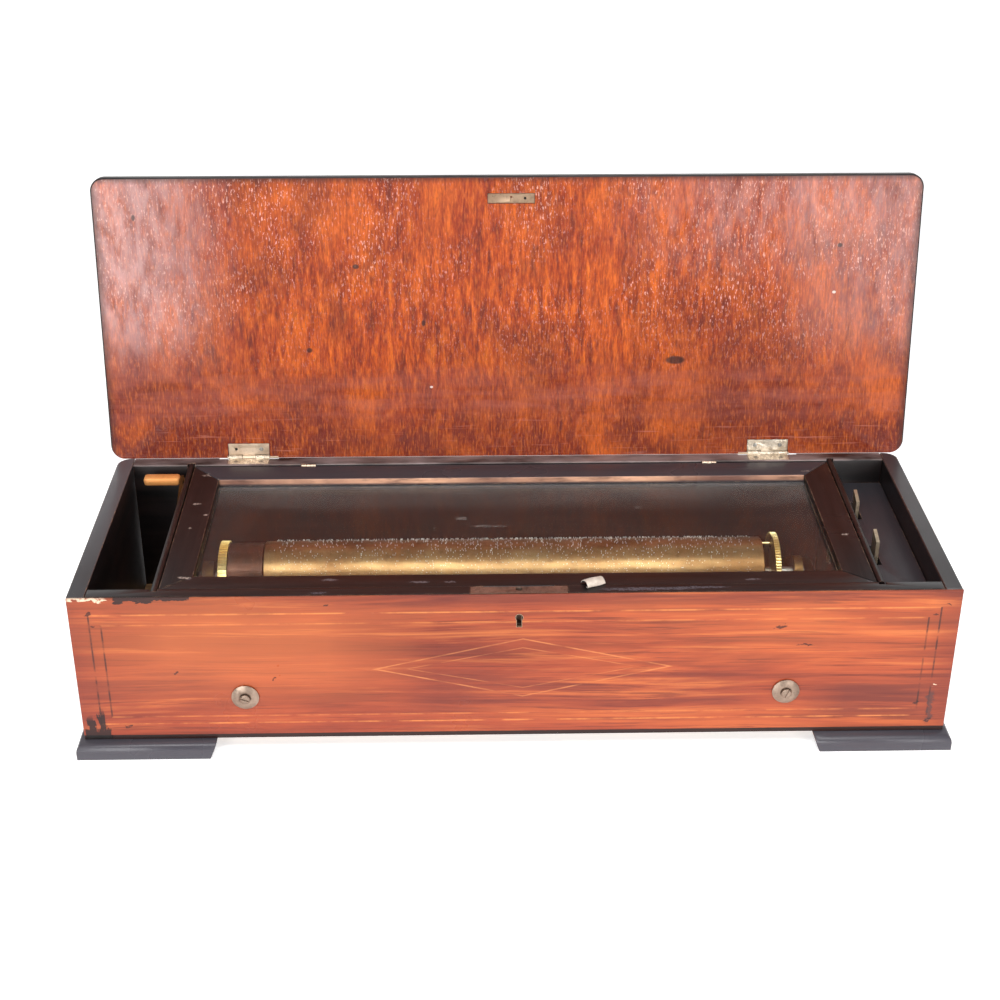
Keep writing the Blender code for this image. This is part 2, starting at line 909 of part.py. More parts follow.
def make_lid():
    """The lid is made shut, then its pivot opens it."""
    under_z = lid_under_z
    low = (left_x - lid_side_overhang, front_y - lid_front_overhang)
    high = (right_x + lid_side_overhang, back_y)
    lid = plate(
        "lid_board",
        [rounded_rectangle(low, high, lid_corner_radius)],
        lid_thickness,
        facing("+Z", (0, 0, under_z + lid_thickness / 2)),
        "lid_wood",
    )
    round_slab(lid.data, lid_edge_round, lid_under_round)
    plate_y = staple_y
    catch = block(
        "lid_catch_plate",
        (lock_x - catch_length / 2, plate_y - catch_breadth / 2, under_z),
        (lock_x + catch_length / 2, plate_y + catch_breadth / 2, under_z + catch_thickness),
        "hinge_metal",
    )
    staple = block(
        "staple",
        (lock_x - staple_thickness / 2, plate_y - staple_width / 2, rim_z - staple_length),
        (
            lock_x + staple_thickness / 2,
            plate_y + staple_width / 2,
            under_z + catch_thickness / 2,
        ),
    )
    join(catch, staple)
    eye_half = Vector((staple_thickness, bolt_breadth / 2 + seat_gap, bolt_height / 2 + seat_gap))
    eye_middle = Vector((lock_x, plate_y, bolt_z))
    cut(
        catch,
        block("staple_eye", eye_middle - eye_half, eye_middle + eye_half),
        rod(
            "catch_screw_hole",
            (lock_x + catch_screw_offset, plate_y, under_z - cut_overrun),
            (lock_x + catch_screw_offset, plate_y, under_z + catch_thickness + cut_overrun),
            catch_screw_radius,
            sides=12,
        ),
    )
    cut(
        lid,
        block(
            "catch_mortise",
            (
                lock_x - catch_length / 2 - seat_gap,
                plate_y - catch_breadth / 2 - seat_gap,
                under_z - cut_overrun,
            ),
            (
                lock_x + catch_length / 2 + seat_gap,
                plate_y + catch_breadth / 2 + seat_gap,
                under_z + catch_thickness + seat_gap,
            ),
        ),
    )
    return lid, catch


def round_slab(mesh, upper, lower):
    """Rounds the upper and the lower edge all round a slab."""
    bm = bmesh.new()
    bm.from_mesh(mesh)
    for side, width, segments in ((1, upper, 3), (-1, lower, 1)):
        rim = []
        for edge in bm.edges:
            flat = all(vert.co.z * side > 0 for vert in edge.verts)
            if flat and edge.calc_face_angle(0) > math.radians(60):
                rim.append(edge)
        bmesh.ops.bevel(bm, geom=rim, offset=width, segments=segments, profile=0.5, affect="EDGES")
    bm.to_mesh(mesh)
    bm.free()
    mesh.shade_smooth()
    mesh.set_sharp_from_angle(angle=math.radians(35))


def hinge_rod(name, start_x, end_x, radius, finish=None):
    """A round bar on the lid's axis."""
    return rod(name, (start_x, hinge_y, hinge_z), (end_x, hinge_y, hinge_z), radius, finish, sides=16)


def make_hinge_leaf(name, low, high, knuckles, rooms):
    """A leaf with its knuckles, room for those of the other leaf, the bore and two screw holes."""
    leaf = block(name, low, high, "hinge_metal")
    for i, (start, end) in enumerate(rooms):
        cut(leaf, hinge_rod(f"{name}_room_{i}", start, end, hinge_knuckle_radius + seat_gap))
    for i, (start, end) in enumerate(knuckles):
        join(leaf, hinge_rod(f"{name}_knuckle_{i}", start, end, hinge_knuckle_radius))
    bore_radius = hinge_pin_radius + running_gap
    cut(leaf, hinge_rod(f"{name}_bore", low[0] - cut_overrun, high[0] + cut_overrun, bore_radius))
    hole_y = hinge_y - hinge_leaf_depth * hinge_screw_share
    for i, x in enumerate((low[0] + hinge_screw_inset, high[0] - hinge_screw_inset)):
        cut(
            leaf,
            rod(
                f"{name}_screw_hole_{i}",
                (x, hole_y, low[2] - cut_overrun),
                (x, hole_y, high[2] + cut_overrun),
                hinge_screw_radius,
                sides=12,
            ),
        )
    return leaf


def make_lid_hinge(name, side, lid, back):
    """A butt hinge let flush into the rim and the lid, with its pin standing out at one end."""
    outer_x = side * (right_x - hinge_end_inset)
    inner_x = outer_x - side * hinge_width
    low_x, high_x = min(outer_x, inner_x), max(outer_x, inner_x)
    low_third_x, high_third_x = low_x + hinge_width / 3, high_x - hinge_width / 3
    edge_y = hinge_y - hinge_leaf_depth
    make_hinge_leaf(
        f"{name}_case_leaf",
        (low_x, edge_y, rim_z - hinge_leaf_thickness),
        (high_x, hinge_y, rim_z),
        [(low_x, low_third_x), (high_third_x, high_x)],
        [(low_third_x, high_third_x)],
    )
    lid_leaf = make_hinge_leaf(
        f"{name}_lid_leaf",
        (low_x, edge_y, lid_under_z),
        (high_x, hinge_y, lid_under_z + hinge_leaf_thickness),
        [(low_third_x + seat_gap, high_third_x - seat_gap)],
        [
            (low_x - cut_overrun, low_third_x + seat_gap),
            (high_third_x - seat_gap, high_x + cut_overrun),
        ],
    )
    pin_start_x = outer_x + side * hinge_pin_end
    pin_end_x = inner_x - side * hinge_pin_proud
    hinge_rod(f"{name}_pin", pin_start_x, pin_end_x, hinge_pin_radius, "hinge_metal")
    room_reach = hinge_pin_proud + seat_gap
    for board, leaf_low, leaf_high in (
        (back, rim_z - hinge_leaf_thickness - seat_gap, rim_z + cut_overrun),
        (lid, lid_under_z - cut_overrun, lid_under_z + hinge_leaf_thickness + seat_gap),
    ):
        cut(
            board,
            block(
                f"{name}_mortise_{board.name}",
                (low_x - seat_gap, edge_y - seat_gap, leaf_low),
                (high_x + seat_gap, hinge_y + cut_overrun, leaf_high),
            ),
            hinge_rod(
                f"{name}_knuckle_room_{board.name}",
                low_x - room_reach,
                high_x + room_reach,
                hinge_knuckle_radius + seat_gap,
            ),
        )
    return lid_leaf


def make_glass_lid(back):
    """Four mitred members with a groove for the glass, hung on two small hinges."""
    x0, x1 = frame_left_x, frame_right_x
    y0, y1 = frame_front_y, frame_back_y
    ix0, ix1 = x0 + frame_stile_width, x1 - frame_stile_width
    iy0, iy1 = y0 + frame_front_width, y1 - frame_back_width
    gap = mitre_gap
    shapes = {
        "glass_frame_front_rail": [(x0 + gap, y0), (x1 - gap, y0), (ix1 - gap, iy0), (ix0 + gap, iy0)],
        "glass_frame_back_rail": [(x0 + gap, y1), (ix0 + gap, iy1), (ix1 - gap, iy1), (x1 - gap, y1)],
        "glass_frame_left_stile": [(x0, y0), (ix0, iy0), (ix0, iy1), (x0, y1)],
        "glass_frame_right_stile": [(x1, y0), (x1, y1), (ix1, iy1), (ix1, iy0)],
    }
    middle_z = (frame_top_z + frame_low_z) / 2
    members = {}
    groove_low_z = glass_top_z - glass_thickness - seat_gap
    for name, outline in shapes.items():
        member = plate(name, [outline], frame_thickness, facing("+Z", (0, 0, middle_z)), "ebonised_wood")
        add_bevel(member, frame_edge, 1)
        groove = block(
            f"{name}_groove",
            (ix0 - glass_groove, iy0 - glass_groove, groove_low_z),
            (ix1 + glass_groove, iy1 + glass_groove, glass_top_z + seat_gap),
        )
        cut(member, groove)
        members[name] = member
    pane = block(
        "glass_pane",
        (
            ix0 - glass_groove + seat_gap,
            iy0 - glass_groove + seat_gap,
            glass_top_z - glass_thickness,
        ),
        (ix1 + glass_groove - seat_gap, iy1 + glass_groove - seat_gap, glass_top_z),
        "glass",
    )
    moving = [*members.values(), pane]
    for name, side in (("glass_hinge_left", -1), ("glass_hinge_right", 1)):
        moving.append(make_glass_hinge(name, side, members["glass_frame_back_rail"], back))
    moving.append(make_tab())
    hang_on(pivot("glass_lid_pivot", (0, glass_hinge_y, glass_hinge_z)), *moving)
    block(
        "glass_lid_rest",
        (x0, inner_front_y + seat_gap, frame_low_z - seat_gap - rest_height),
        (x1, inner_front_y + seat_gap + rest_breadth, frame_low_z - seat_gap),
        "ebonised_wood",
    )


def make_glass_hinge(name, side, rail, back):
    """The fixed leaf carries the pin and the two outer knuckles, the moving leaf the middle one."""
    middle_x = side * (right_x - glass_hinge_inset)
    low_x, high_x = middle_x - glass_hinge_width / 2, middle_x + glass_hinge_width / 2
    third = glass_hinge_width / 3
    top_z, low_z = glass_hinge_z, glass_hinge_z - glass_leaf_height
    fixed = block(
        f"{name}_wall_leaf",
        (low_x, inner_back_y, low_z),
        (high_x, inner_back_y + glass_leaf_thickness, top_z),
        "brass",
    )
    moving = block(
        f"{name}_frame_leaf",
        (low_x, frame_back_y - glass_leaf_thickness, low_z),
        (high_x, frame_back_y, top_z),
        "brass",
    )
    ends = (glass_hinge_y, glass_hinge_z)
    centre = (low_x + third + seat_gap, high_x - third - seat_gap)
    cut(
        fixed,
        rod(
            f"{name}_wall_room",
            (low_x + third, *ends),
            (high_x - third, *ends),
            glass_knuckle_radius + seat_gap,
            sides=12,
        ),
    )
    for i, (start, end) in enumerate(((low_x, low_x + third), (high_x - third, high_x))):
        join(
            fixed,
            rod(f"{name}_wall_knuckle_{i}", (start, *ends), (end, *ends), glass_knuckle_radius, sides=12),
        )
        low_cut = start - cut_overrun if i == 0 else start - seat_gap
        high_cut = end + seat_gap if i == 0 else end + cut_overrun
        cut(
            moving,
            rod(
                f"{name}_frame_room_{i}",
                (low_cut, *ends),
                (high_cut, *ends),
                glass_knuckle_radius + seat_gap,
                sides=12,
            ),
        )
    join(
        fixed,
        rod(
            f"{name}_pin",
            (low_x + third / 2, *ends),
            (high_x - third / 2, *ends),
            glass_pin_radius,
            sides=12,
        ),
    )
    join(
        moving,
        rod(
            f"{name}_frame_knuckle",
            (centre[0], *ends),
            (centre[1], *ends),
            glass_knuckle_radius,
            sides=12,
        ),
    )
    cut(
        moving,
        rod(
            f"{name}_frame_bore",
            (low_x - cut_overrun, *ends),
            (high_x + cut_overrun, *ends),
            glass_pin_radius + running_gap,
            sides=12,
        ),
    )
    for board, near_y, far_y in (
        (rail, frame_back_y - glass_leaf_thickness - seat_gap, frame_back_y + cut_overrun),
        (back, inner_back_y - cut_overrun, inner_back_y + glass_leaf_thickness + seat_gap),
    ):
        cut(
            board,
            block(
                f"{name}_mortise_{board.name}",
                (low_x - seat_gap, near_y, low_z - seat_gap),
                (high_x + seat_gap, far_y, rim_z + cut_overrun),
            ),
            rod(
                f"{name}_room_{board.name}",
                (low_x - seat_gap, *ends),
                (high_x + seat_gap, *ends),
                glass_knuckle_radius + seat_gap,
                sides=12,
            ),
        )
    return moving


def make_tab():
    """The ribbon pressed flat on the front rail, as it lies under the shut lid."""
    start = Vector((tab_offset - tab_width / 2, frame_front_y + frame_edge, frame_top_z + seat_gap))
    return block("pull_tab", start, start + Vector((tab_width, tab_length, tab_thickness)), "ribbon")


def make_bedplate():
    low_x = bay_left_x + bedplate_end_gap
    high_x = bay_right_x - bedplate_end_gap
    start_y = inner_front_y + seat_gap
    end_y = inner_back_y - bedplate_back_gap
    bed = block(
        "bedplate",
        (low_x, start_y, bedplate_low_z),
        (high_x, end_y, bedplate_top_z),
        "gilt_iron",
    )
    for name, leg_x in (("left", low_x), ("right", high_x - bedplate_leg_width)):
        join(
            bed,
            block(
                f"bedplate_leg_{name}",
                (leg_x, end_y - bedplate_leg_depth, floor_top_z + seat_gap),
                (leg_x + bedplate_leg_width, end_y, bedplate_mid_z),
            ),
        )
    return bed


def make_fixing(name, side, bed, front, veneer):
    """A slotted bolt through the front into the edge of the bedplate, on a domed washer."""
    x = side * (right_x - bolt_inset)
    place = facing("-Y", (x, front_y - seat_gap, bedplate_mid_z))
    bore = fixing_shank_radius + running_gap
    turned(
        f"bolt_washer_{name}",
        [
            (bore, washer_height),
            (washer_crown_radius, washer_height),
            ((washer_crown_radius + washer_radius) / 2, (washer_height + washer_rim_height * 2) / 2),
            (washer_radius, washer_rim_height),
            (washer_radius, 0),
            (bore, 0),
        ],
        place,
        "washer_metal",
        steps=28,
        closed=True,
    )
    head_low = washer_height + seat_gap
    head_top = head_low + fixing_head_height
    reach = wall_thickness + fixing_reach
    bolt = turned(
        f"bedplate_bolt_{name}",
        [
            (0, head_top),
            (fixing_head_radius * fixing_face_share, head_top),
            (fixing_head_radius, head_top - fixing_head_height / 3),
            (fixing_head_radius, head_low),
            (fixing_shank_radius, head_low),
            (fixing_shank_radius, -reach),
            (0, -reach),
        ],
        place,
        "washer_metal",
        steps=20,
    )
    slot = block(
        f"bolt_slot_{name}",
        (-fixing_head_radius - cut_overrun, -fixing_slot_width / 2, -fixing_slot_depth),
        (fixing_head_radius + cut_overrun, fixing_slot_width / 2, cut_overrun),
    )
    head_face = facing("-Y", (x, front_y - seat_gap - head_top, bedplate_mid_z))
    slot_turn = Matrix.Rotation(fixing_slot_turns[name], 4, "Z")
    slot.matrix_world = head_face @ slot_turn @ slot.matrix_world
    cut(bolt, slot)
    hole = rod(
        f"bolt_hole_{name}",
        (x, front_y - cut_overrun, bedplate_mid_z),
        (x, inner_front_y + fixing_reach + cut_overrun, bedplate_mid_z),
        fixing_shank_radius + running_gap,
        sides=20,
    )
    for piece in (bed, front, veneer):
        cut(piece, hole)


def bridge(name, x, thickness, foot_front, foot_back, bore):
    """An upright plate on the bedplate with a round head that carries an arbor."""
    low = bedplate_top_z + seat_gap - axis_z
    shoulder = low + bridge_shoulder
    outline = [(-foot_front, low), (foot_back, low), (foot_back, shoulder)]
    outline += arc(bridge_head_radius, 0, 180, 12)
    outline.append((-foot_front, (low + shoulder) / 2))
    return plate(
        name,
        [outline, circle(bore, 20)],
        thickness,
        facing("+X", (x + thickness / 2, axis_y, axis_z)),
        "brass",
    )


def make_winding_work():
    arbor_x = lever_x - lever_hub_extra
    core_x = barrel_x + barrel_cap + seat_gap
    core_end_x = barrel_end_x - barrel_cap - seat_gap
    along = facing("+X", (0, axis_y, axis_z))
    arbor = turned(
        "winding_arbor",
        [
            (0, core_end_x),
            (spring_core_radius, core_end_x),
            (spring_core_radius, core_x),
            (winding_arbor_radius, core_x),
            (winding_arbor_radius, arbor_x),
            (0, arbor_x),
        ],
        along,
        "steel",
        steps=20,
    )
    ratchet = plate(
        "ratchet_wheel",
        [
            ratchet_outline(ratchet_teeth, ratchet_radius, ratchet_tooth_depth, ratchet_toward),
            circle(winding_arbor_radius + seat_gap, 20),
        ],
        ratchet_thickness,
        facing("+X", (ratchet_x + ratchet_thickness / 2, axis_y, axis_z)),
        "bright_brass",
    )
    hang_on(pivot("winding_arbor_pivot", (arbor_x, axis_y, axis_z)), arbor, ratchet)

    left_bridge = bridge(
        "barrel_bridge",
        left_bridge_x,
        bridge_thickness,
        bridge_foot_narrow,
        bridge_foot_wide,
        winding_arbor_radius + running_gap,
    )
    pivot_at = Vector(polar(ratchet_radius + click_pivot_out, click_pivot_angle))
    click_z = axis_z + pivot_at.y
    click_y = axis_y + pivot_at.x
    cut(
        left_bridge,
        rod(
            "click_pivot_hole",
            (left_bridge_x - cut_overrun, click_y, click_z),
            (left_bridge_x + bridge_thickness + cut_overrun, click_y, click_z),
            click_pivot_radius + running_gap,
            sides=16,
        ),
    )
    tooth = 2 * math.pi / ratchet_teeth
    tip_at = Vector(
        polar(
            ratchet_radius - ratchet_tooth_depth / 2,
            ratchet_toward + click_tip_gap / ratchet_radius,
        )
    )
    throat_angle = ratchet_toward + click_throat_teeth * tooth
    throat = polar(ratchet_radius + click_throat_gap, throat_angle)
    reach = tip_at - pivot_at
    heading = math.degrees(math.atan2(reach.y, reach.x))
    outward = Vector((-reach.y, reach.x)).normalized() * click_width / 2
    hub_start = heading + click_hub_opening
    hub_end = heading + 360 - click_hub_opening
    hub = arc(click_hub_radius, hub_start, hub_end, 10, pivot_at)
    neck = pivot_at + reach * click_neck_share + outward
    click = plate(
        "ratchet_click",
        [[*hub, throat, tuple(tip_at), tuple(neck)]],
        ratchet_thickness - 2 * seat_gap,
        facing("+X", (ratchet_x + ratchet_thickness / 2, axis_y, axis_z)),
        "blued_steel",
    )
    join(
        click,
        rod(
            "click_stud",
            (left_bridge_x + seat_gap, click_y, click_z),
            (ratchet_x + ratchet_thickness / 2, click_y, click_z),
            click_pivot_radius,
            sides=16,
        ),
    )
    hang_on(pivot("click_pivot", (ratchet_x, click_y, click_z)), click)


def spiral(radius, end_radius, turns, strip, steps):
    """A strip wound from radius out to end_radius, as one closed outline."""
    total = turns * steps
    inner, outer = [], []
    for i in range(total + 1):
        angle = 2 * math.pi * i / steps
        here = radius + (end_radius - radius - strip) * i / total
        inner.append(polar(here, angle))
        outer.append(polar(here + strip, angle))
    return inner + outer[::-1]


def make_cylinder():
    along = facing("+X", (0, axis_y, axis_z))
    arbor_bore = cylinder_arbor_radius + running_gap
    inner = barrel_radius - barrel_wall
    barrel = turned(
        "spring_barrel",
        [
            (barrel_radius, barrel_end_x),
            (barrel_radius, barrel_x),
            (winding_arbor_radius + running_gap, barrel_x),
            (winding_arbor_radius + running_gap, barrel_x + barrel_cap),
            (inner, barrel_x + barrel_cap),
            (inner, barrel_end_x - barrel_cap),
            (arbor_bore, barrel_end_x - barrel_cap),
            (arbor_bore, barrel_end_x),
        ],
        along,
        "steel",
        steps=40,
        closed=True,
    )
    spring_low = barrel_x + barrel_cap + seat_gap
    spring_high = barrel_end_x - barrel_cap - seat_gap
    spring = plate(
        "mainspring",
        [
            spiral(
                spring_core_radius + seat_gap,
                inner - seat_gap,
                spring_turns,
                spring_strip,
                16,
            )
        ],
        spring_high - spring_low,
        facing("+X", ((spring_low + spring_high) / 2, axis_y, axis_z)),
        "blued_steel",
    )
    shell = cylinder_radius - cylinder_wall
    cylinder = turned(
        "pinned_cylinder",
        [
            (cylinder_radius, cylinder_end_x),
            (cylinder_radius, cylinder_x),
            (arbor_bore, cylinder_x),
            (arbor_bore, cylinder_x + cylinder_cap),
            (shell, cylinder_x + cylinder_cap),
            (shell, cylinder_end_x - cylinder_cap),
            (arbor_bore, cylinder_end_x - cylinder_cap),
            (arbor_bore, cylinder_end_x),
        ],
        along,
        "bright_brass",
        steps=64,
        closed=True,
    )
    wheel_toward = math.pi + first_arbor_drop
    arbor_end_x = right_bridge_x + right_bridge_thickness + arbor_end_proud
    arbor = rod(
        "cylinder_arbor",
        (barrel_end_x - barrel_cap + seat_gap, axis_y, axis_z),
        (arbor_end_x, axis_y, axis_z),
        cylinder_arbor_radius,
        "steel",
        sides=24,
    )
    wheel = plate(
        "great_wheel",
        [
            gear_outline(great_wheel_teeth, great_wheel_module, wheel_toward),
            circle(cylinder_arbor_radius + seat_gap, 24),
        ],
        great_wheel_thickness,
        facing("+X", (great_wheel_x + great_wheel_thickness / 2, axis_y, axis_z)),
        "brass",
    )
    pin_y, pin_z = polar(drive_pin_offset, drive_pin_angle)
    drive_pin = rod(
        "drive_pin",
        (cylinder_end_x - cylinder_cap / 2, axis_y + pin_y, axis_z + pin_z),
        (great_wheel_x + great_wheel_thickness / 2, axis_y + pin_y, axis_z + pin_z),
        drive_pin_radius,
        sides=12,
    )
    join(wheel, drive_pin)
    cut(
        cylinder,
        rod(
            "drive_pin_hole",
            (cylinder_end_x - cylinder_cap - cut_overrun, axis_y + pin_y, axis_z + pin_z),
            (cylinder_end_x + cut_overrun, axis_y + pin_y, axis_z + pin_z),
            drive_pin_radius + seat_gap,
            sides=12,
        ),
    )
    snail_thickness = snail_base + (snail_steps - 1) * snail_step
    snail_z = axis_z - snail_offset
    snail = make_snail(great_wheel_x - seat_gap, snail_z)
    join(
        wheel,
        rod(
            "snail_stud",
            (great_wheel_x - snail_thickness, axis_y, snail_z),
            (great_wheel_x + great_wheel_thickness / 2, axis_y, snail_z),
            snail_bore - running_gap,
            sides=16,
        ),
    )
    follower_z = snail_z + follower_reach
    join(
        cylinder,
        rod(
            "tune_follower",
            (cylinder_end_x - cylinder_cap / 2, axis_y, follower_z),
            (great_wheel_x - 2 * seat_gap - snail_thickness, axis_y, follower_z),
            follower_radius,
            sides=12,
        ),
    )
    spin = pivot("cylinder_pivot", (0, axis_y, axis_z))
    hang_on(spin, barrel, spring, arbor, wheel, cylinder)
    snail_pivot = pivot("snail_pivot", (great_wheel_x, axis_y, snail_z))
    hang_on(snail_pivot, snail)
    hang_on(spin, snail_pivot)
    bridge(
        "cylinder_bridge",
        right_bridge_x,
        right_bridge_thickness,
        right_bridge_front,
        bridge_foot_narrow,
        cylinder_arbor_radius + running_gap,
    )


def make_snail(base_x, centre_z):
    """A disc whose face falls in equal steps, one for each tune."""
    per_step = snail_columns
    rows = per_step + 1
    count = snail_steps * per_step
    first = math.pi / 2 + math.pi / snail_steps
    bm = bmesh.new()
    rings = (snail_bore, snail_radius)
    angles = [first - 2 * math.pi * i / count for i in range(count)]
    bottoms = [[bm.verts.new((*polar(r, angle), 0)) for r in rings] for angle in angles]
    tops = []
    for k in range(snail_steps):
        height = snail_base + (snail_steps - 1 - k) * snail_step
        for j in range(rows):
            angle = angles[(k * per_step + j) % count]
            tops.append([bm.verts.new((*polar(r, angle), -height)) for r in rings])

    def column(k, j, ring):
        """The points down one side of a step, with the corner of a lower neighbour between."""
        own = tops[k * rows + j][ring]
        points = [own, bottoms[(k * per_step + j) % count][ring]]
        beside = {0: tops[k * rows - 1][ring], per_step: tops[(k + 1) % snail_steps * rows][ring]}
        if j in beside and beside[j].co.z > own.co.z:
            points.insert(1, beside[j])
        return points

    for k in range(snail_steps):
        for j in range(per_step):
            a, b = tops[k * rows + j], tops[k * rows + j + 1]
            low_a = bottoms[(k * per_step + j) % count]
            low_b = bottoms[(k * per_step + j + 1) % count]
            bm.faces.new((a[0], b[0], b[1], a[1]))
            bm.faces.new((low_a[1], low_b[1], low_b[0], low_a[0]))
            for ring in (0, 1):
                bm.faces.new(column(k, j, ring) + column(k, j + 1, ring)[::-1])
        last, following = tops[k * rows + per_step], tops[(k + 1) % snail_steps * rows]
        bm.faces.new((last[0], following[0], following[1], last[1]))
    bmesh.ops.recalc_face_normals(bm, faces=bm.faces)
    return add_object(
        "tune_snail", mesh_from(bm, "tune_snail"), facing("+X", (base_x, axis_y, centre_z)), "steel"
    )


def make_comb():
    low_x = cylinder_x + comb_end_margin
    high_x = cylinder_end_x - comb_end_margin
    pitch = (high_x - low_x) / comb_teeth
    root_y = comb_tip_y - comb_tooth_length
    outline = [(low_x, comb_front_y)]
    teeth = []
    for i in range(comb_teeth):
        start = low_x + i * pitch + comb_slot / 2
        end = start + pitch - comb_slot
        teeth += [(start, root_y), (start, comb_tip_y), (end, comb_tip_y), (end, root_y)]
    outline += teeth + [(high_x, comb_front_y)]
    comb_z = axis_z + comb_thickness / 2
    plate("comb", [outline], comb_thickness, facing("+Z", (0, 0, comb_z)), "steel")
    block(
        "comb_base",
        (low_x, comb_front_y, bedplate_top_z + seat_gap),
        (high_x, comb_front_y + comb_base_depth, axis_z - seat_gap),
        "brass",
        comb_base_edge,
    )


def geared_arbor(name, centre, start_x, end_x, gears, finish):
    """An arbor along X with its gears. Each is (teeth, module, low x, width, angle of a tooth)."""
    arbor = rod(name, (start_x, *centre), (end_x, *centre), train_arbor_radius, finish, sides=12)
    for i, (teeth, module, low_x, width, toward) in enumerate(gears):
        join(
            arbor,
            plate(
                f"{name}_gear_{i}",
                [gear_outline(teeth, module, toward)],
                width,
                facing("+X", (low_x + width / 2, *centre)),
            ),
        )
    return arbor


def make_governor():
    to_first = math.pi + first_arbor_drop
    to_second = math.pi - second_arbor_rise
    first = geared_arbor(
        "governor_first_arbor",
        (first_arbor_y, first_arbor_z),
        great_wheel_x - seat_gap,
        governor_end_x + governor_plate / 2,
        [
            (
                first_pinion_teeth,
                great_wheel_module,
                great_wheel_x - seat_gap,
                first_pinion_width,
                to_first + math.pi + math.pi / first_pinion_teeth,
            ),
            (first_wheel_teeth, train_module, first_wheel_x, train_wheel_thickness, to_second),
        ],
        "brass",
    )
    hang_on(pivot("first_arbor_pivot", (governor_x, first_arbor_y, first_arbor_z)), first)
    second = geared_arbor(
        "governor_second_arbor",
        (second_arbor_y, second_arbor_z),
        governor_x + governor_plate / 2,
        governor_end_x + governor_plate / 2,
        [
            (
                second_pinion_teeth,
                train_module,
                first_wheel_x - seat_gap / 2,
                train_wheel_thickness + seat_gap,
                to_second + math.pi + math.pi / second_pinion_teeth,
            ),
            (worm_wheel_teeth, train_module, worm_wheel_x, train_wheel_thickness, math.pi),
        ],
        "brass",
    )
    hang_on(pivot("second_arbor_pivot", (governor_x, second_arbor_y, second_arbor_z)), second)
    spindle = make_spindle()
    hang_on(pivot("spindle_pivot", (spindle_x, spindle_y, spindle_low_z)), spindle)
    make_governor_frame()


def make_spindle():
    """The upright spindle with its screw thread and the two blades of the fan."""
    fan_low_z = cock_top_z + fan_gap
    fan_top_z = fan_low_z + fan_height + train_arbor_radius
    spindle = rod(
        "fan_spindle",
        (spindle_x, spindle_y, spindle_low_z),
        (spindle_x, spindle_y, fan_top_z),
        train_arbor_radius,
        "steel",
        sides=12,
    )
    lead = worm_starts * math.pi * train_module
    half = worm_turns * lead / 2
    core = rod(
        "worm_core",
        (spindle_x, spindle_y, second_arbor_z - half - worm_thread * 2),
        (spindle_x, spindle_y, second_arbor_z + half + worm_thread * 2),
        worm_radius,
        sides=15,
    )
    join(spindle, core)
    for start in range(worm_starts):
        join(spindle, make_thread(f"worm_thread_{start}", start, lead, half))
    join(
        spindle,
        block(
            "fan_blades",
            (spindle_x - fan_thickness / 2, spindle_y - fan_radius, fan_low_z),
            (spindle_x + fan_thickness / 2, spindle_y + fan_radius, fan_low_z + fan_height),
        ),
    )
    return spindle


def make_thread(name, start, lead, half):
    """One thread of the worm. It faces the worm wheel halfway between two of its teeth."""
    per_turn = 12
    curve = bpy.data.curves.new(name, "CURVE")
    curve.dimensions = "3D"
    curve.bevel_depth = worm_thread
    curve.bevel_resolution = 0
    curve.use_fill_caps = True
    spline = curve.splines.new("POLY")
    count = worm_turns * per_turn + 1
    spline.points.add(count - 1)
    offset = math.pi / 2 + 2 * math.pi * (start + 0.5) / worm_starts
    for i, point in enumerate(spline.points):
        turn = 2 * math.pi * (i / per_turn - worm_turns / 2)
        x, y = polar(worm_radius + worm_thread / 2, turn + offset)
        point.co = (x, y, lead * turn / (2 * math.pi), 1)
    obj = add_object(name, curve, Matrix.Translation((spindle_x, spindle_y, second_arbor_z)), None)
    return as_mesh(obj, None)


def make_governor_frame():
    """Two side plates on a foot, with a cock between them over the upright spindle."""
    foot_low_z = bedplate_top_z + seat_gap
    foot_top_z = foot_low_z + governor_foot_thickness
    front_reach = spindle_y - worm_radius - governor_front_margin
    back_reach = first_arbor_y + governor_back_margin
    frame = block(
        "governor_frame",
        (governor_x, front_reach, foot_low_z),
        (governor_end_x + governor_plate, back_reach, foot_top_z),
        "brass",
    )
    for name, x in (("near", governor_x), ("far", governor_end_x)):
        join(
            frame,
            block(
                f"governor_plate_{name}",
                (x, front_reach, foot_low_z + governor_foot_thickness / 2),
                (x + governor_plate, back_reach, cock_top_z),
            ),
        )
    join(
        frame,
        block(
            "governor_cock",
            (
                governor_x + governor_plate / 2,
                front_reach,
                cock_top_z - governor_cock_thickness,
            ),
            (
                governor_end_x + governor_plate / 2,
                spindle_y + worm_radius + governor_plate / 2,
                cock_top_z - seat_gap,
            ),
        ),
    )
    bore = train_arbor_radius + running_gap
    for name, y, z in (
        ("first", first_arbor_y, first_arbor_z),
        ("second", second_arbor_y, second_arbor_z),
    ):
        cut(
            frame,
            rod(
                f"{name}_arbor_bore",
                (governor_x - cut_overrun, y, z),
                (governor_end_x + governor_plate + cut_overrun, y, z),
                bore,
                sides=12,
            ),
        )
    cut(
        frame,
        rod(
            "spindle_bore",
            (spindle_x, spindle_y, spindle_low_z - seat_gap),
            (spindle_x, spindle_y, cock_top_z + cut_overrun),
            bore,
            sides=12,
        ),
    )


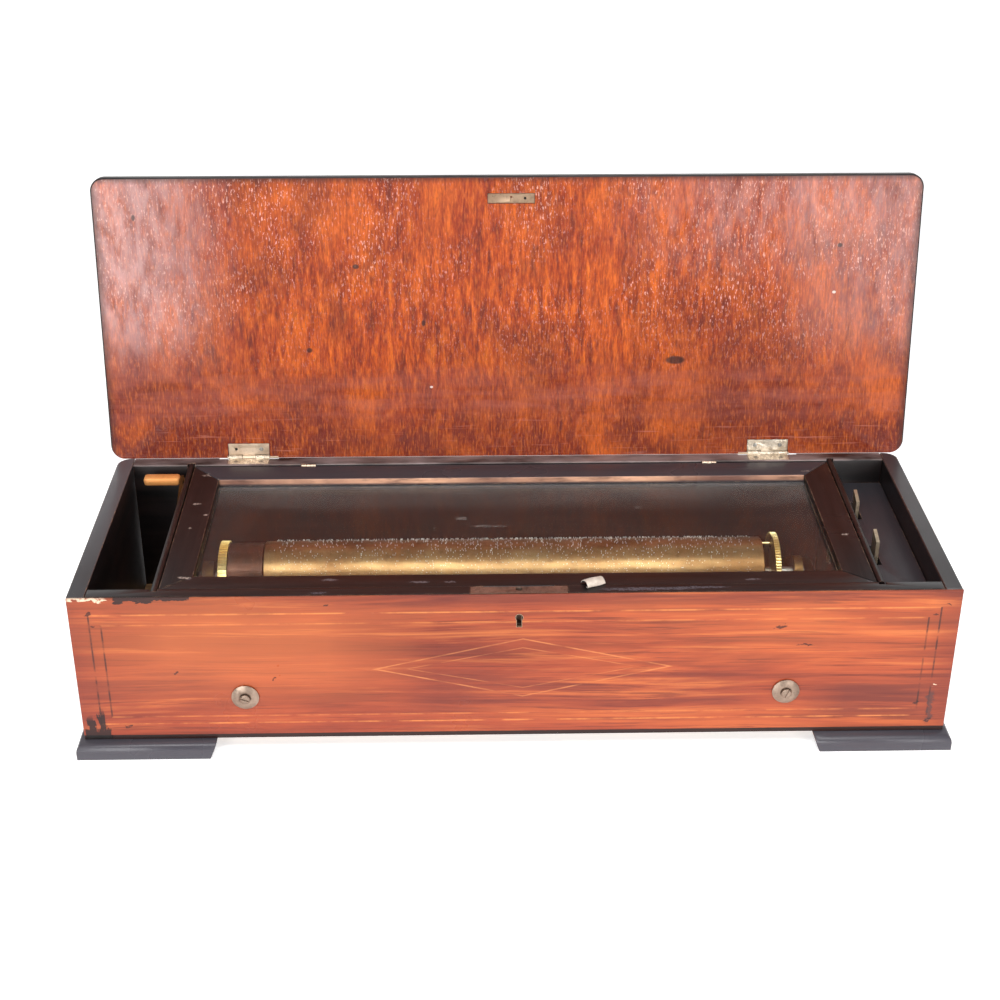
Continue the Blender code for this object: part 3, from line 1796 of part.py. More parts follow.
def make_winding_lever():
    """An arm that swings on the winding arbor, with a bar handle riveted to its end."""
    reach_y, reach_z = handle_y - axis_y, handle_z - axis_z
    length = math.hypot(reach_y, reach_z)
    lean = math.degrees(math.atan2(reach_z, reach_y))
    half = lever_arm_width / 2
    spread = math.degrees(math.asin(half / lever_hub_radius))
    arm_turn = Matrix.Rotation(math.radians(lean), 4, "Z")
    outline = arc(lever_hub_radius, spread, 360 - spread, 16)
    outline += arc(half, -90, 90, 6, (length, 0))
    lever = plate(
        "winding_lever",
        [outline, circle(winding_arbor_radius + running_gap, 20)],
        lever_thickness,
        facing("+X", (lever_x + lever_thickness / 2, axis_y, axis_z)) @ arm_turn,
        "brass",
    )
    spigot_bore = rod(
        "spigot_bore",
        (lever_x - cut_overrun, handle_y, handle_z),
        (lever_x + lever_thickness + cut_overrun, handle_y, handle_z),
        handle_spigot_radius + running_gap,
        sides=16,
    )
    cut(lever, spigot_bore)
    handle_end_x = lever_x - seat_gap
    handle = block(
        "winding_handle",
        (handle_end_x - handle_length, handle_y - handle_depth / 2, handle_z - handle_height / 2),
        (handle_end_x, handle_y + handle_depth / 2, handle_z + handle_height / 2),
        "bright_brass",
        handle_edge,
    )
    join(
        handle,
        rod(
            "handle_spigot",
            (handle_end_x - handle_spigot_radius, handle_y, handle_z),
            (lever_x + lever_thickness, handle_y, handle_z),
            handle_spigot_radius,
            sides=16,
        ),
    )
    hang_on(pivot("winding_lever_pivot", (lever_x, axis_y, axis_z)), lever, handle)


def make_control_lever(name, middle_y, height):
    """A flat lever through a slot in the floor, on a stud that turns in the partition."""
    half = control_lever_width / 2
    top = control_pivot_drop + height
    hub = arc(control_hub_radius, 90 + control_hub_opening, 450 - control_hub_opening, 10)
    outline = hub + [
        (half, control_hub_radius * 2),
        (half, top),
        (-half, top - control_top_slant),
        (-half, control_hub_radius * 2),
    ]
    lever = plate(
        name,
        [outline],
        control_lever_thickness,
        facing("+X", (control_lever_x + control_lever_thickness / 2, middle_y, control_pivot_z)),
        "hinge_metal",
    )
    stud_end_x = bay_right_x - seat_gap * 2 - control_lever_thickness
    join(
        lever,
        rod(
            f"{name}_stud",
            (stud_end_x, middle_y, control_pivot_z),
            (control_lever_x + control_lever_thickness / 2, middle_y, control_pivot_z),
            control_stud_radius,
            sides=16,
        ),
        rod(
            f"{name}_collar",
            (control_partition_x + seat_gap, middle_y, control_pivot_z),
            (control_lever_x + control_lever_thickness / 2, middle_y, control_pivot_z),
            control_stud_radius * 2,
            sides=16,
        ),
        block(
            f"{name}_inner_arm",
            (stud_end_x, middle_y - control_stud_radius, control_pivot_z - control_arm_length),
            (
                stud_end_x + control_lever_thickness,
                middle_y + control_stud_radius,
                control_pivot_z + control_stud_radius,
            ),
        ),
    )
    hang_on(pivot(f"{name}_pivot", (control_lever_x, middle_y, control_pivot_z)), lever)


front_panel, back_panel, front_veneer = make_case()
make_feet()
make_partitions(front_panel, back_panel)
make_lock(front_panel)
lid_board, catch_plate = make_lid()
lid_leaves = [
    make_lid_hinge("lid_hinge_left", -1, lid_board, back_panel),
    make_lid_hinge("lid_hinge_right", 1, lid_board, back_panel),
]
lid_pivot = pivot("lid_pivot", (0, hinge_y, hinge_z))
hang_on(lid_pivot, lid_board, catch_plate, *lid_leaves)
lid_pivot.rotation_euler.x = -lid_open_angle
make_glass_lid(back_panel)
bedplate = make_bedplate()
for fixing_name, fixing_side in (("left", -1), ("right", 1)):
    make_fixing(fixing_name, fixing_side, bedplate, front_panel, front_veneer)
make_winding_work()
make_cylinder()
make_comb()
make_governor()
make_winding_lever()
make_control_lever("start_stop_lever", start_lever_y, start_lever_height)
make_control_lever("repeat_lever", repeat_lever_y, repeat_lever_height)
bpy.context.view_layer.update()
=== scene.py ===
"""Looks of the cylinder music box: fine shapes, materials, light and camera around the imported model.

Everything is in metres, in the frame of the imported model: X along the case, Y to the back, Z up.
Pieces of the lid are built with the lid shut and then turned open, as the model stands at rest.
"""

import json
import math
import random
from functools import reduce

import bmesh
import bpy
from mathutils import Euler, Matrix, Vector


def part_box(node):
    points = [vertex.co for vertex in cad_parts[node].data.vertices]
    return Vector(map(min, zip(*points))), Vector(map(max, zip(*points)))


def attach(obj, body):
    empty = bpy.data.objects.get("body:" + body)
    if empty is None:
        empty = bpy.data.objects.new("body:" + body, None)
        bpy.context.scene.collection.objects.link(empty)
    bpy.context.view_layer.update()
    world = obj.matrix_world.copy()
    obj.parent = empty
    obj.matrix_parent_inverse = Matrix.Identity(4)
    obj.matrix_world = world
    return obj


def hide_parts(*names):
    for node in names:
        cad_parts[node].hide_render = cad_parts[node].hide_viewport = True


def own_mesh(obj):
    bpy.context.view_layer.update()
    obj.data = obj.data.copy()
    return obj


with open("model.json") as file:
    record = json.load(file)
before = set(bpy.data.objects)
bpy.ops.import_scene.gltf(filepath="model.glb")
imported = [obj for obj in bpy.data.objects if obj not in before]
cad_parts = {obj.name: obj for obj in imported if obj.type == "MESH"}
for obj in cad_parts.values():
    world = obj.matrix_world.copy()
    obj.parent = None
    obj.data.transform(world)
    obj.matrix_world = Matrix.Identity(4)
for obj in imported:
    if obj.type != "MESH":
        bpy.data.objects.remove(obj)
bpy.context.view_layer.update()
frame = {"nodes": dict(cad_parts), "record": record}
nodes = frame["nodes"]

# Places that the CAD nodes fix.
hinge_y = 0.07991988
hinge_z = 0.1188
hinge_x = 0.187
lid_angle = math.radians(98.4)
veneer_low, veneer_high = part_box("front_veneer")
rim_z = veneer_high.z
drum_low, drum_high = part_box("pinned_cylinder")
drum_axis = Vector((0.0, (drum_low.y + drum_high.y) / 2, (drum_low.z + drum_high.z) / 2))

lid_open = (
    Matrix.Translation((0.0, hinge_y, hinge_z))
    @ Matrix.Rotation(-lid_angle, 4, "X")
    @ Matrix.Translation((0.0, -hinge_y, -hinge_z))
)
lid_shut = lid_open.inverted()


def tone(value):
    """A display colour from 0 to 255 as the linear colour that a node takes; all else is passed on."""
    if not isinstance(value, tuple) or len(value) != 3:
        return value
    parts = [part / 255 for part in value]
    return (*(p / 12.92 if p <= 0.04045 else ((p + 0.055) / 1.055) ** 2.4 for p in parts), 1.0)


# ---------------------------------------------------------------- materials


class Shader:
    """One procedural material, put together node by node. Colours are given from 0 to 255."""

    def __init__(self, name):
        self.material = bpy.data.materials.new(name)
        self.material.use_nodes = True
        self.tree = self.material.node_tree
        self.tree.nodes.clear()
        self.here = self.add("TexCoord").outputs["Object"]

    def add(self, kind, inputs=None, **settings):
        node = self.tree.nodes.new("ShaderNode" + kind)
        for name, value in settings.items():
            setattr(node, name, value)
        for key, value in (inputs or {}).items():
            if isinstance(value, bpy.types.NodeSocket):
                self.tree.links.new(value, node.inputs[key])
            else:
                node.inputs[key].default_value = value
        return node

    def place(self, scale=1, turn=(0, 0, 0), shift=(0, 0, 0), source=None):
        scale = scale if isinstance(scale, tuple) else (scale,) * 3
        inputs = {"Vector": source or self.here, "Scale": scale, "Rotation": turn, "Location": shift}
        return self.add("Mapping", inputs).outputs[0]

    def noise(self, scale, detail=4.0, rough=0.55, warp=0.0, source=None):
        inputs = {
            "Vector": self.place(scale, source=source),
            "Scale": 1.0,
            "Detail": detail,
            "Roughness": rough,
            "Distortion": warp,
        }
        return self.add("TexNoise", inputs).outputs[0]

    def fit(self, value, low, high, to_low=0.0, to_high=1.0):
        inputs = {"Value": value, "From Min": low, "From Max": high, "To Min": to_low, "To Max": to_high}
        return self.add("MapRange", inputs).outputs[0]

    def patches(self, scale, detail, low, high, *noise):
        """0 to 1 in soft patches."""
        return self.fit(self.noise(scale, detail, *noise), low, high)

    def math(self, operation, first, second=0.0):
        return self.add("Math", {0: first, 1: second}, operation=operation).outputs[0]

    def plus(self, first, second):
        return self.math("ADD", first, second)

    def minus(self, first, second):
        return self.math("SUBTRACT", first, second)

    def size(self, value):
        return self.math("ABSOLUTE", value)

    def swing(self, value, amount):
        """A noise turned into a shift, as far to one side as to the other."""
        return self.both(self.minus(value, 0.5), amount)

    def mix(self, factor, first, second):
        inputs = {0: factor, 6: tone(first), 7: tone(second)}
        return self.add("Mix", inputs, data_type="RGBA").outputs[2]

    def over(self, below, above, *shares):
        """One colour laid over another, as much as all shares together allow."""
        return self.mix(self.both(*shares), below, above)

    def ramp(self, value, *stops):
        node = self.add("ValToRGB", {0: value})
        elements = node.color_ramp.elements
        while len(elements) < len(stops):
            elements.new(1.0)
        for element, (place, colour) in zip(elements, stops):
            element.position = place
            element.color = tone(colour)
        return node.outputs[0]

    def axes(self, source=None):
        return self.add("SeparateXYZ", {0: source or self.here}).outputs

    def band(self, value, centre, half, soft):
        """1 where the value is within half of the centre, falling to 0 over soft."""
        away = self.size(self.minus(value, centre))
        return self.fit(away, half, half + soft, 1.0, 0.0)

    def both(self, *values):
        return reduce(lambda first, second: self.math("MULTIPLY", first, second), values)

    def most(self, *values):
        return reduce(lambda first, second: self.math("MAXIMUM", first, second), values)

    def edges(self, radius, low=0.02, high=0.2):
        """1 on sharp edges, 0 on flat faces."""
        rounded = self.add("Bevel", {"Radius": radius}, samples=4).outputs[0]
        straight = self.add("NewGeometry").outputs["Normal"]
        inputs = {0: rounded, 1: straight}
        same = self.add("VectorMath", inputs, operation="DOT_PRODUCT").outputs["Value"]
        return self.fit(self.math("SUBTRACT", 1.0, same), low, high)

    def spots(self, first, second, places):
        """1 inside small oval marks, each given as two coordinates and two half sizes in mm."""
        marks = []
        for mark in places:
            first_at, second_at, first_half, second_half = [part / 1000 for part in mark]
            along = self.math("DIVIDE", self.minus(first, first_at), first_half)
            up = self.math("DIVIDE", self.minus(second, second_at), second_half)
            away = self.math("ADD", self.both(along, along), self.both(up, up))
            marks.append(self.fit(away, 0.6, 1.3, 1.0, 0.0))
        return self.most(*marks)

    def bump(self, height, distance, strength=1.0, normal=None):
        inputs = {"Height": height, "Distance": distance, "Strength": strength}
        if normal:
            inputs["Normal"] = normal
        return self.add("Bump", inputs).outputs[0]

    def finish(self, colour, rough, metal=0.0, normal=None, **sockets):
        inputs = {"Base Color": colour, "Roughness": rough, "Metallic": metal}
        if normal:
            inputs["Normal"] = normal
        inputs.update({name.replace("_", " "): value for name, value in sockets.items()})
        self.shader = self.add("BsdfPrincipled", inputs)
        self.output = self.add("OutputMaterial", {"Surface": self.shader.outputs[0]})
        return self.material


def along(axis, length, across):
    """Noise scale of a grain that runs along one axis."""
    return tuple(length if name == axis else across for name in "xyz")


def ebonised(name, axis="x", gloss=0.32, brown=0.2, lift=0.0, marks=(), mark=(168, 150, 140), bare=None):
    """Black stained and polished wood: faint grain, brown where it is rubbed, specks and chips, and where
    asked a painted sheen.
    """
    s = Shader(name)
    x, y, z = s.axes()
    grain = s.noise(along(axis, 9, 190), 7, 0.6, 0.4)
    cloud = s.noise(11, 3)
    base = s.mix(s.fit(grain, 0.35, 0.72), (14, 11, 12), (33, 25, 25))
    # lift mixes in an even pale bluish grey: painted sheen, the studio light mirrored in the polish.
    base = s.mix(lift, base, (104, 102, 112))
    base = s.over(base, (78, 44, 34), s.fit(cloud, 0.5, 0.75), s.fit(grain, 0.4, 0.62), brown)
    worn = s.both(s.edges(0.0011), s.patches(31, 3, 0.36, 0.56))
    base = s.over(base, (122, 78, 58), worn, 0.75)
    base = s.over(base, (196, 158, 130), worn, s.patches(170, 5, 0.48, 0.58), 0.85)
    base = s.over(base, (150, 142, 136), s.patches(900, 2, 0.73, 0.8), 0.3)
    base = s.over(base, (120, 108, 100), s.patches(along(axis, 26, 1500), 3, 0.66, 0.74), 0.16)
    if marks:
        ragged = s.swing(s.noise(420, 4), 0.004)
        shown = s.spots(s.plus(x, ragged), s.plus(y, ragged), marks)
        base = s.over(base, mark, shown, s.patches(700, 3, 0.35, 0.55), 0.9)
    if bare:
        front_y, low_z = bare
        face, level = s.fit(y, front_y, front_y + 0.0003, 1.0, 0.0), s.fit(z, low_z, low_z + 0.0016)
        wood = s.mix(s.patches((14, 9, 9), 4, 0.36, 0.64), (226, 172, 140), (122, 84, 72))
        wood = s.over(wood, (84, 58, 50), s.patches((60, 260, 260), 5, 0.5, 0.68), 0.6)
        base = s.over(base, wood, face, level)
    rough = s.fit(cloud, 0.3, 0.7, gloss - 0.07, gloss + 0.14)
    normal = s.bump(grain, 0.00016, 0.8)
    normal = s.bump(s.noise(26, 2), 0.0006, 0.35, normal)
    return s.finish(base, rough, 0.0, normal, Specular_IOR_Level=0.32, Coat_Weight=0.04, Coat_Roughness=0.2)


def striped(s, source):
    """Colour, grain and height of the red-brown veneer: figure running along X, wavy and uneven."""
    wave = s.add("TexNoise", {"Vector": s.place((3.2, 3.2, 9), source=source), "Scale": 1.0}).outputs[1]
    sway = s.add("VectorMath", {0: wave, 1: (0.0, 0.014, 0.014)}, operation="MULTIPLY").outputs[0]
    flow = s.add("VectorMath", {0: source, 1: sway}, operation="ADD").outputs[0]
    broad = s.noise((3.1, 26, 26), 5, 0.6, 0.5, flow)
    streak = s.noise((5.5, 150, 150), 6, 0.62, 0.3, flow)
    thin = s.noise((9, 500, 500), 6, 0.64, 0.2, flow)
    fine = s.noise((22, 900, 900), 4, 0.6, 0.0, flow)
    colour = s.ramp(
        broad, (0.34, (118, 46, 28)), (0.45, (146, 61, 36)), (0.56, (172, 78, 43)), (0.68, (196, 98, 50))
    )
    colour = s.over(colour, (102, 42, 30), s.fit(streak, 0.5, 0.66), 0.6)
    colour = s.over(colour, (214, 124, 66), s.fit(streak, 0.46, 0.34), 0.45)
    colour = s.over(colour, (88, 34, 26), s.fit(thin, 0.55, 0.61), 0.6)
    colour = s.over(colour, (88, 38, 28), s.fit(fine, 0.5, 0.75), 0.3)
    return colour, streak, fine


def front_veneer():
    """The front: striped veneer with a double line border, a double diamond, scars and lost corners."""
    s = Shader("front_veneer_polished")
    x, y, z = s.axes()
    colour, streak, fine = striped(s, s.here)
    across = s.size(x)
    colour = s.over(colour, (136, 58, 44), s.fit(z, 0.075, 0.03), 0.3)
    colour = s.over(colour, (214, 118, 62), s.fit(z, 0.06, 0.1), s.patches((5, 5, 9), 3, 0.4, 0.65), 0.4)
    colour = s.over(colour, (214, 118, 66), s.band(x, -0.17, 0.05, 0.07), s.band(z, 0.08, 0.02, 0.03), 0.35)
    colour = s.over(colour, (120, 48, 38), s.fit(across, 0.262, 0.28), 0.5)
    for centre_x, half_x, centre_z, half_z, share in (
        (0.04, 0.09, 0.045, 0.008, 0.55),
        (0.235, 0.022, 0.038, 0.007, 0.7),
        (-0.235, 0.03, 0.05, 0.012, 0.35),
    ):
        stain = s.both(s.band(x, centre_x, half_x, 0.03), s.band(z, centre_z, half_z, 0.012))
        colour = s.over(colour, (98, 42, 36), stain, s.fit(streak, 0.36, 0.56), share)
    top = s.both(s.fit(z, 0.1085, 0.1135), s.fit(x, -0.16, -0.04))
    colour = s.over(colour, (96, 36, 30), top, s.fit(streak, 0.36, 0.52), 0.6)

    # Border: two rectangles of stringing, pale along the grain and dark across it.
    worn = s.patches(60, 4, 0.38, 0.6)
    for half_x, low_z, high_z, share in ((0.2676, 0.0235, 0.106, 1.0), (0.2603, 0.029, 0.0985, 0.6)):
        middle_z, half_z = (low_z + high_z) / 2, (high_z - low_z) / 2
        up = s.size(s.minus(z, middle_z))
        level, inside = s.band(up, half_z, 0.0003, 0.0005), s.fit(across, half_x, half_x + 0.0004, 1.0, 0.0)
        colour = s.over(colour, (236, 146, 78), level, inside, worn, 0.5 * share)
        upright, inside = s.band(across, half_x, 0.0003, 0.0005), s.fit(up, half_z, half_z + 0.0004, 1.0, 0.0)
        colour = s.over(colour, (62, 34, 30), upright, inside, s.patches((60, 60, 110), 4, 0.36, 0.6), 0.85)

    # Two slim diamonds, one inside the other, in pale stringing.
    for half_width, half_height, share in ((0.0941, 0.0218, 0.42), (0.0736, 0.0152, 0.3)):
        along_x = s.size(s.minus(x, 0.004))
        up = s.size(s.minus(z, 0.0638))
        ring = s.plus(s.math("DIVIDE", along_x, half_width), s.math("DIVIDE", up, half_height))
        line = s.band(ring, 1.0, 0.012, 0.018)
        colour = s.over(colour, (232, 148, 88), line, s.patches(45, 4, 0.36, 0.6), share)

    # Lost veneer at the top left and the lower left corner, and small dark and pale marks.
    ragged = s.swing(s.noise((130, 130, 260), 5), 0.012)
    shifted = s.plus(z, ragged)
    moved = s.plus(x, ragged)
    gap = s.both(s.fit(shifted, 0.1152, 0.1157), s.band(moved, -0.227, 0.0215, 0.0008))
    tear_x = s.plus(x, s.swing(s.noise((260, 260, 90), 5), 0.01))
    tear = s.most(
        s.both(s.band(tear_x, -0.2668, 0.0016, 0.0004), s.fit(z, 0.036, 0.03)),
        s.both(s.band(tear_x, -0.2742, 0.0018, 0.0004), s.fit(z, 0.031, 0.026)),
        s.both(s.band(tear_x, -0.2705, 0.008, 0.0006), s.fit(shifted, 0.0205, 0.018)),
    )
    dots = s.spots(moved, shifted, (
        (-267.5, 106.7, 1.6, 1.1), (-251.6, 20.7, 2.6, 0.8), (-266, 97.5, 1.2, 1.2),
        (271.2, 107.1, 2.2, 0.8), (264.2, 100.4, 1.8, 0.9), (269, 19.7, 2.2, 0.9),
        (-215, 64, 0.8, 0.8), (-156, 56, 0.9, 0.7), (166.7, 92.3, 3.4, 1.3),
        (259, 33, 1.4, 1.2), (184, 78.8, 5.6, 0.8), (-118, 113, 1.6, 0.5),
    ))
    dull = s.band(moved, 0.2692, 0.0013, 0.0008)
    colour = s.over(colour, (74, 52, 52), dull, s.band(z, 0.03, 0.01, 0.004), 0.7)
    colour = s.over(colour, (30, 21, 22), s.most(gap, tear), 0.92)
    colour = s.over(colour, (44, 24, 24), dots, 0.8)
    # A black band along the bottom edge: painted shade, the shadow line under the case.
    colour = s.over(colour, (14, 11, 12), s.fit(z, 0.0151, 0.0146), 0.95)
    pale = s.both(s.fit(shifted, 0.1166, 0.1171), s.band(x, -0.268, 0.01, 0.003))
    pale = s.both(pale, s.patches(160, 4, 0.4, 0.5))
    pale = s.most(pale, s.spots(moved, shifted, ((269.6, 46.7, 1.3, 0.9), (-256, 117.4, 2, 0.6))))
    colour = s.over(colour, (232, 206, 178), pale, 0.9)
    colour = s.over(colour, (58, 30, 26), s.edges(0.001), s.patches(50, 4, 0.42, 0.55), 0.6)
    rough = s.fit(s.noise(16, 4), 0.3, 0.7, 0.27, 0.42)
    height = s.minus(fine, s.both(s.most(gap, tear), 2.5))
    normal = s.bump(height, 0.00012, 0.7)
    normal = s.bump(s.noise((30, 30, 50), 3), 0.0006, 0.35, normal)
    return s.finish(colour, rough, 0.0, normal, Specular_IOR_Level=0.3, Coat_Weight=0.1, Coat_Roughness=0.16)


def lid_place(s):
    """Coordinates on the shut lid: X along it, Y from its hinge (0) to its front (-0.2)."""
    moved = s.place(shift=(0.0, -hinge_y, -hinge_z))
    return s.place(turn=(lid_angle, 0.0, 0.0), source=moved)


def lid_underside():
    """Red mahogany with upright grain, bright in the middle, under thick pitted varnish, with painted glints
    and a painted glare.
    """
    s = Shader("lid_underside_mahogany")
    local = lid_place(s)
    x, y = s.axes(local)[:2]
    broad = s.noise((9, 6, 9), 4, 0.6, 0.4, local)
    streak = s.noise((210, 34, 34), 7, 0.68, 0.4, local)
    fine = s.noise((840, 120, 120), 4, 0.65, 0.2, local)
    pores = s.patches((1300, 130, 130), 3, 0.57, 0.7, 0.5, 0.0, local)
    colour = s.ramp(
        streak, (0.36, (112, 34, 8)), (0.46, (158, 54, 8)), (0.55, (194, 78, 10)), (0.68, (230, 112, 20))
    )
    # The middle is bright orange, the ends and the lower edge are a darker red.
    sideways = s.plus(s.size(s.plus(x, -0.02)), s.swing(broad, 0.3))
    colour = s.over(colour, (120, 36, 22), s.fit(sideways, 0.1, 0.27), 0.62)
    front = s.plus(y, s.swing(broad, 0.16))
    colour = s.over(colour, (128, 42, 24), s.fit(front, -0.13, -0.2), 0.35)
    colour = s.over(colour, (104, 30, 18), s.fit(front, -0.08, -0.01), 0.72)
    for scale, detail, low, high, rough, warp, share, shade_of in (
        ((24, 13, 13), 5, 0.48, 0.66, 0.62, 0.8, 0.55, (224, 104, 24)),
        ((17, 11, 11), 6, 0.48, 0.62, 0.66, 1.1, 0.55, (104, 32, 16)),
        ((150, 44, 44), 5, 0.56, 0.68, 0.6, 0.6, 0.5, (96, 30, 16)),
    ):
        patch = s.patches(scale, detail, low, high, rough, warp, local)
        colour = s.over(colour, shade_of, patch, share)
    colour = s.over(colour, (92, 26, 12), s.fit(fine, 0.5, 0.66), 0.55)
    colour = s.over(colour, (236, 126, 48), s.fit(fine, 0.48, 0.34), 0.4)
    colour = s.over(colour, (62, 20, 14), pores, 0.4)
    haze = s.band(y, -0.046, 0.008, 0.016)
    colour = s.over(colour, (176, 98, 82), haze, s.patches((12, 90, 90), 4, 0.36, 0.64, 0.6, 0.3, local), 0.4)

    # Painted highlights: small pale pink glints over the upper part, standing for light caught on small
    # ridges of the varnish.
    glint = s.patches((1000, 300, 300), 3, 0.585, 0.65, 0.55, 0.4, local)
    glint_area = s.patches((15, 11, 11), 4, 0.4, 0.6, 0.6, 0.6, local)
    colour = s.over(colour, (244, 190, 172), glint, s.both(glint_area, s.fit(y, -0.055, -0.12)), 0.75)

    # Painted reflection: a milky pale glare on the varnish towards both ends, standing for the softboxes
    # mirrored there. Pale scrapes near the hinges.
    glare_cloud = s.noise((120, 40, 40), 5, 0.62, 0.3, local)
    painted_glare = s.most(
        s.both(s.fit(x, -0.185, -0.262), s.fit(y, -0.055, -0.11)),
        s.both(s.fit(x, 0.2, 0.285), s.fit(y, -0.05, -0.13), 0.6),
        s.both(s.fit(x, 0.06, 0.15), s.fit(y, -0.12, -0.17), 0.55),
    )
    colour = s.over(colour, (222, 176, 172), painted_glare, s.fit(glare_cloud, 0.3, 0.62), 0.5)
    scrape = s.patches((16, 520, 520), 4, 0.61, 0.68, 0.6, 0.3, local)
    colour = s.over(colour, (196, 116, 92), scrape, s.fit(y, -0.04, -0.02), 0.45)
    rim = s.most(s.fit(s.size(x), 0.279, 0.2845), s.fit(y, -0.1955, -0.1995))
    colour = s.over(colour, (52, 20, 18), rim, 0.75)
    dark = s.spots(x, y, (
        (-106.3, -138.4, 2.2, 1.7), (-140.6, -78.9, 2, 1.8), (-257.5, -173.1, 1.2, 2.2),
        (230, -151.6, 1.8, 1.5), (118, -70, 7, 3), (-60, -98, 1.4, 2.2),
    ))
    colour = s.over(colour, (40, 20, 20), dark, 0.85)
    white = s.spots(x, y, ((-55.1, -51.4, 1.1, 0.8), (228, -118.4, 1.3, 1)))
    colour = s.over(colour, (236, 216, 204), white, 0.9)
    pits = s.noise((900, 420, 420), 3, 0.6, 0.5, local)
    ripple = s.noise((260, 110, 110), 4, 0.6, 0.6, local)
    normal = s.bump(s.plus(ripple, s.both(pits, 0.7)), 0.0016, 0.55)
    normal = s.bump(pores, 0.00012, 0.5, normal)
    rough = s.fit(s.noise(24, 4, 0.6, 0.0, local), 0.3, 0.7, 0.16, 0.3)
    return s.finish(colour, rough, 0.0, normal, Specular_IOR_Level=0.28, Coat_Weight=0.3, Coat_Roughness=0.1)


def lid_outside():
    """The lid's outer face: the same striped veneer inside a black border."""
    s = Shader("lid_outside_veneer")
    local = lid_place(s)
    x, y = s.axes(local)[:2]
    colour, _, fine = striped(s, local)
    colour = s.mix(0.35, colour, (128, 50, 36))
    half_x, half_y = 0.2855, 0.10025
    outward = s.most(s.minus(s.size(x), half_x), s.minus(s.size(s.plus(y, half_y)), half_y))
    colour = s.over(colour, (232, 180, 120), s.band(outward, -0.0185, 0.0004, 0.0003), 0.8)
    colour = s.mix(s.fit(outward, -0.0132, -0.0126), colour, (24, 17, 17))
    rough = s.fit(s.noise(16, 4), 0.3, 0.7, 0.24, 0.42)
    normal = s.bump(fine, 0.0001, 0.6)
    return s.finish(colour, rough, 0.0, normal, Coat_Weight=0.3, Coat_Roughness=0.14)


def case_wood(name, axis, stained_side):
    """Black inside and on the rim, red-brown stained on the outer face."""
    s = Shader(name)
    x, y, z = s.axes()
    place, limit = (y, hinge_y - 0.0003) if stained_side == "back" else (x, 0.2797)
    outward = s.both(place, -1 if stained_side == "left" else 1)
    outside = s.both(s.math("GREATER_THAN", outward, limit), s.math("LESS_THAN", z, rim_z - 0.0016))
    top = s.fit(z, rim_z - 0.0012, rim_z - 0.0006)
    grain = s.noise(along(axis, 8, 150), 7, 0.6, 0.5)
    fine = s.noise(along(axis, 30, 900), 4)
    cloud = s.noise(10, 4)
    dark = s.mix(s.fit(grain, 0.35, 0.72), (14, 11, 12), (34, 26, 26))
    if stained_side == "back":
        # Pale grey patches on the back panel's top: dust, and painted reflection of the light from above.
        dark = s.over(dark, (160, 142, 140), top, s.patches((22, 60, 60), 5, 0.34, 0.6), 0.8)
    else:
        # The rim's top grows pale grey towards the back: painted reflection of the bright studio behind,
        # stronger on the left.
        rim_reflection = (136, 132, 138) if stained_side == "left" else (84, 78, 82)
        dark = s.over(dark, rim_reflection, s.fit(y, -0.08, 0.09, 0.1, 0.45), top)
    red = s.ramp(grain, (0.3, (74, 30, 22)), (0.5, (116, 50, 34)), (0.7, (150, 74, 46)))
    red = s.over(red, (70, 30, 24), s.fit(cloud, 0.45, 0.7), 0.5)
    red = s.over(red, (54, 24, 18), s.fit(fine, 0.5, 0.74), 0.4)
    base = s.mix(outside, dark, red)
    base = s.over(base, (78, 44, 34), s.fit(cloud, 0.5, 0.75), s.fit(grain, 0.4, 0.62), 0.35)
    worn = s.both(s.edges(0.0011), s.patches(29, 3, 0.38, 0.58))
    base = s.over(base, (130, 80, 58), worn, 0.7)
    base = s.over(base, (190, 150, 116), worn, s.patches(150, 5, 0.53, 0.6), 0.85)
    base = s.over(base, (150, 142, 136), s.patches(900, 2, 0.72, 0.8), 0.35)
    rough = s.fit(cloud, 0.3, 0.7, 0.3, 0.5)
    normal = s.bump(grain, 0.00016, 0.8)
    normal = s.bump(s.noise(24, 2), 0.0006, 0.35, normal)
    return s.finish(base, rough, 0.0, normal, Coat_Weight=0.15, Coat_Roughness=0.2)


def bare_wood(name, axis, *tones):
    s = Shader(name)
    grain = s.noise(along(axis, 7, 130), 7, 0.6, 0.6)
    fine = s.noise(along(axis, 30, 1100), 3)
    low, middle, high = tones
    colour = s.ramp(grain, (0.3, low), (0.5, middle), (0.7, high))
    colour = s.over(colour, low, s.fit(fine, 0.5, 0.75), 0.4)
    colour = s.over(colour, (58, 40, 30), s.patches(40, 5, 0.48, 0.66), 0.6)
    normal = s.bump(grain, 0.0002, 0.9)
    normal = s.bump(fine, 0.00008, 0.8, normal)
    rough = s.fit(fine, 0.3, 0.7, 0.62, 0.82)
    return s.finish(colour, rough, 0.0, normal)


def metal(name, pale, deep, stain, rough=0.3, lines=(60, 60, 60), tarnish=0.5, crinkle=0.0, bare=1.0):
    """Worn metal: two tones in clouds, a stain in patches and small specks, paler along edges, fine tool
    lines.
    """
    s = Shader(name)
    cloud = s.noise(42, 5, 0.6, 0.3)
    tool = s.noise(lines, 4, 0.6)
    small = s.noise(420, 3)
    colour = s.mix(s.fit(cloud, 0.35, 0.65), pale, deep)
    spots = s.both(s.patches(110, 6, 0.5, 0.68, 0.65), tarnish)
    colour = s.mix(spots, colour, stain)
    colour = s.over(colour, stain, s.fit(small, 0.6, 0.75), tarnish)
    colour = s.over(colour, pale, s.edges(0.0004), 0.5)
    roughness = s.fit(cloud, 0.3, 0.7, rough - 0.06, rough + 0.12)
    roughness = s.plus(roughness, s.both(spots, 0.3))
    normal = s.bump(tool, 0.00004, 0.9)
    normal = s.bump(small, 0.00003, 0.6, normal)
    if crinkle:
        normal = s.bump(s.noise((230, 150, 230), 4, 0.6, 0.8), crinkle, 1.0, normal)
    return s.finish(colour, roughness, bare, normal)


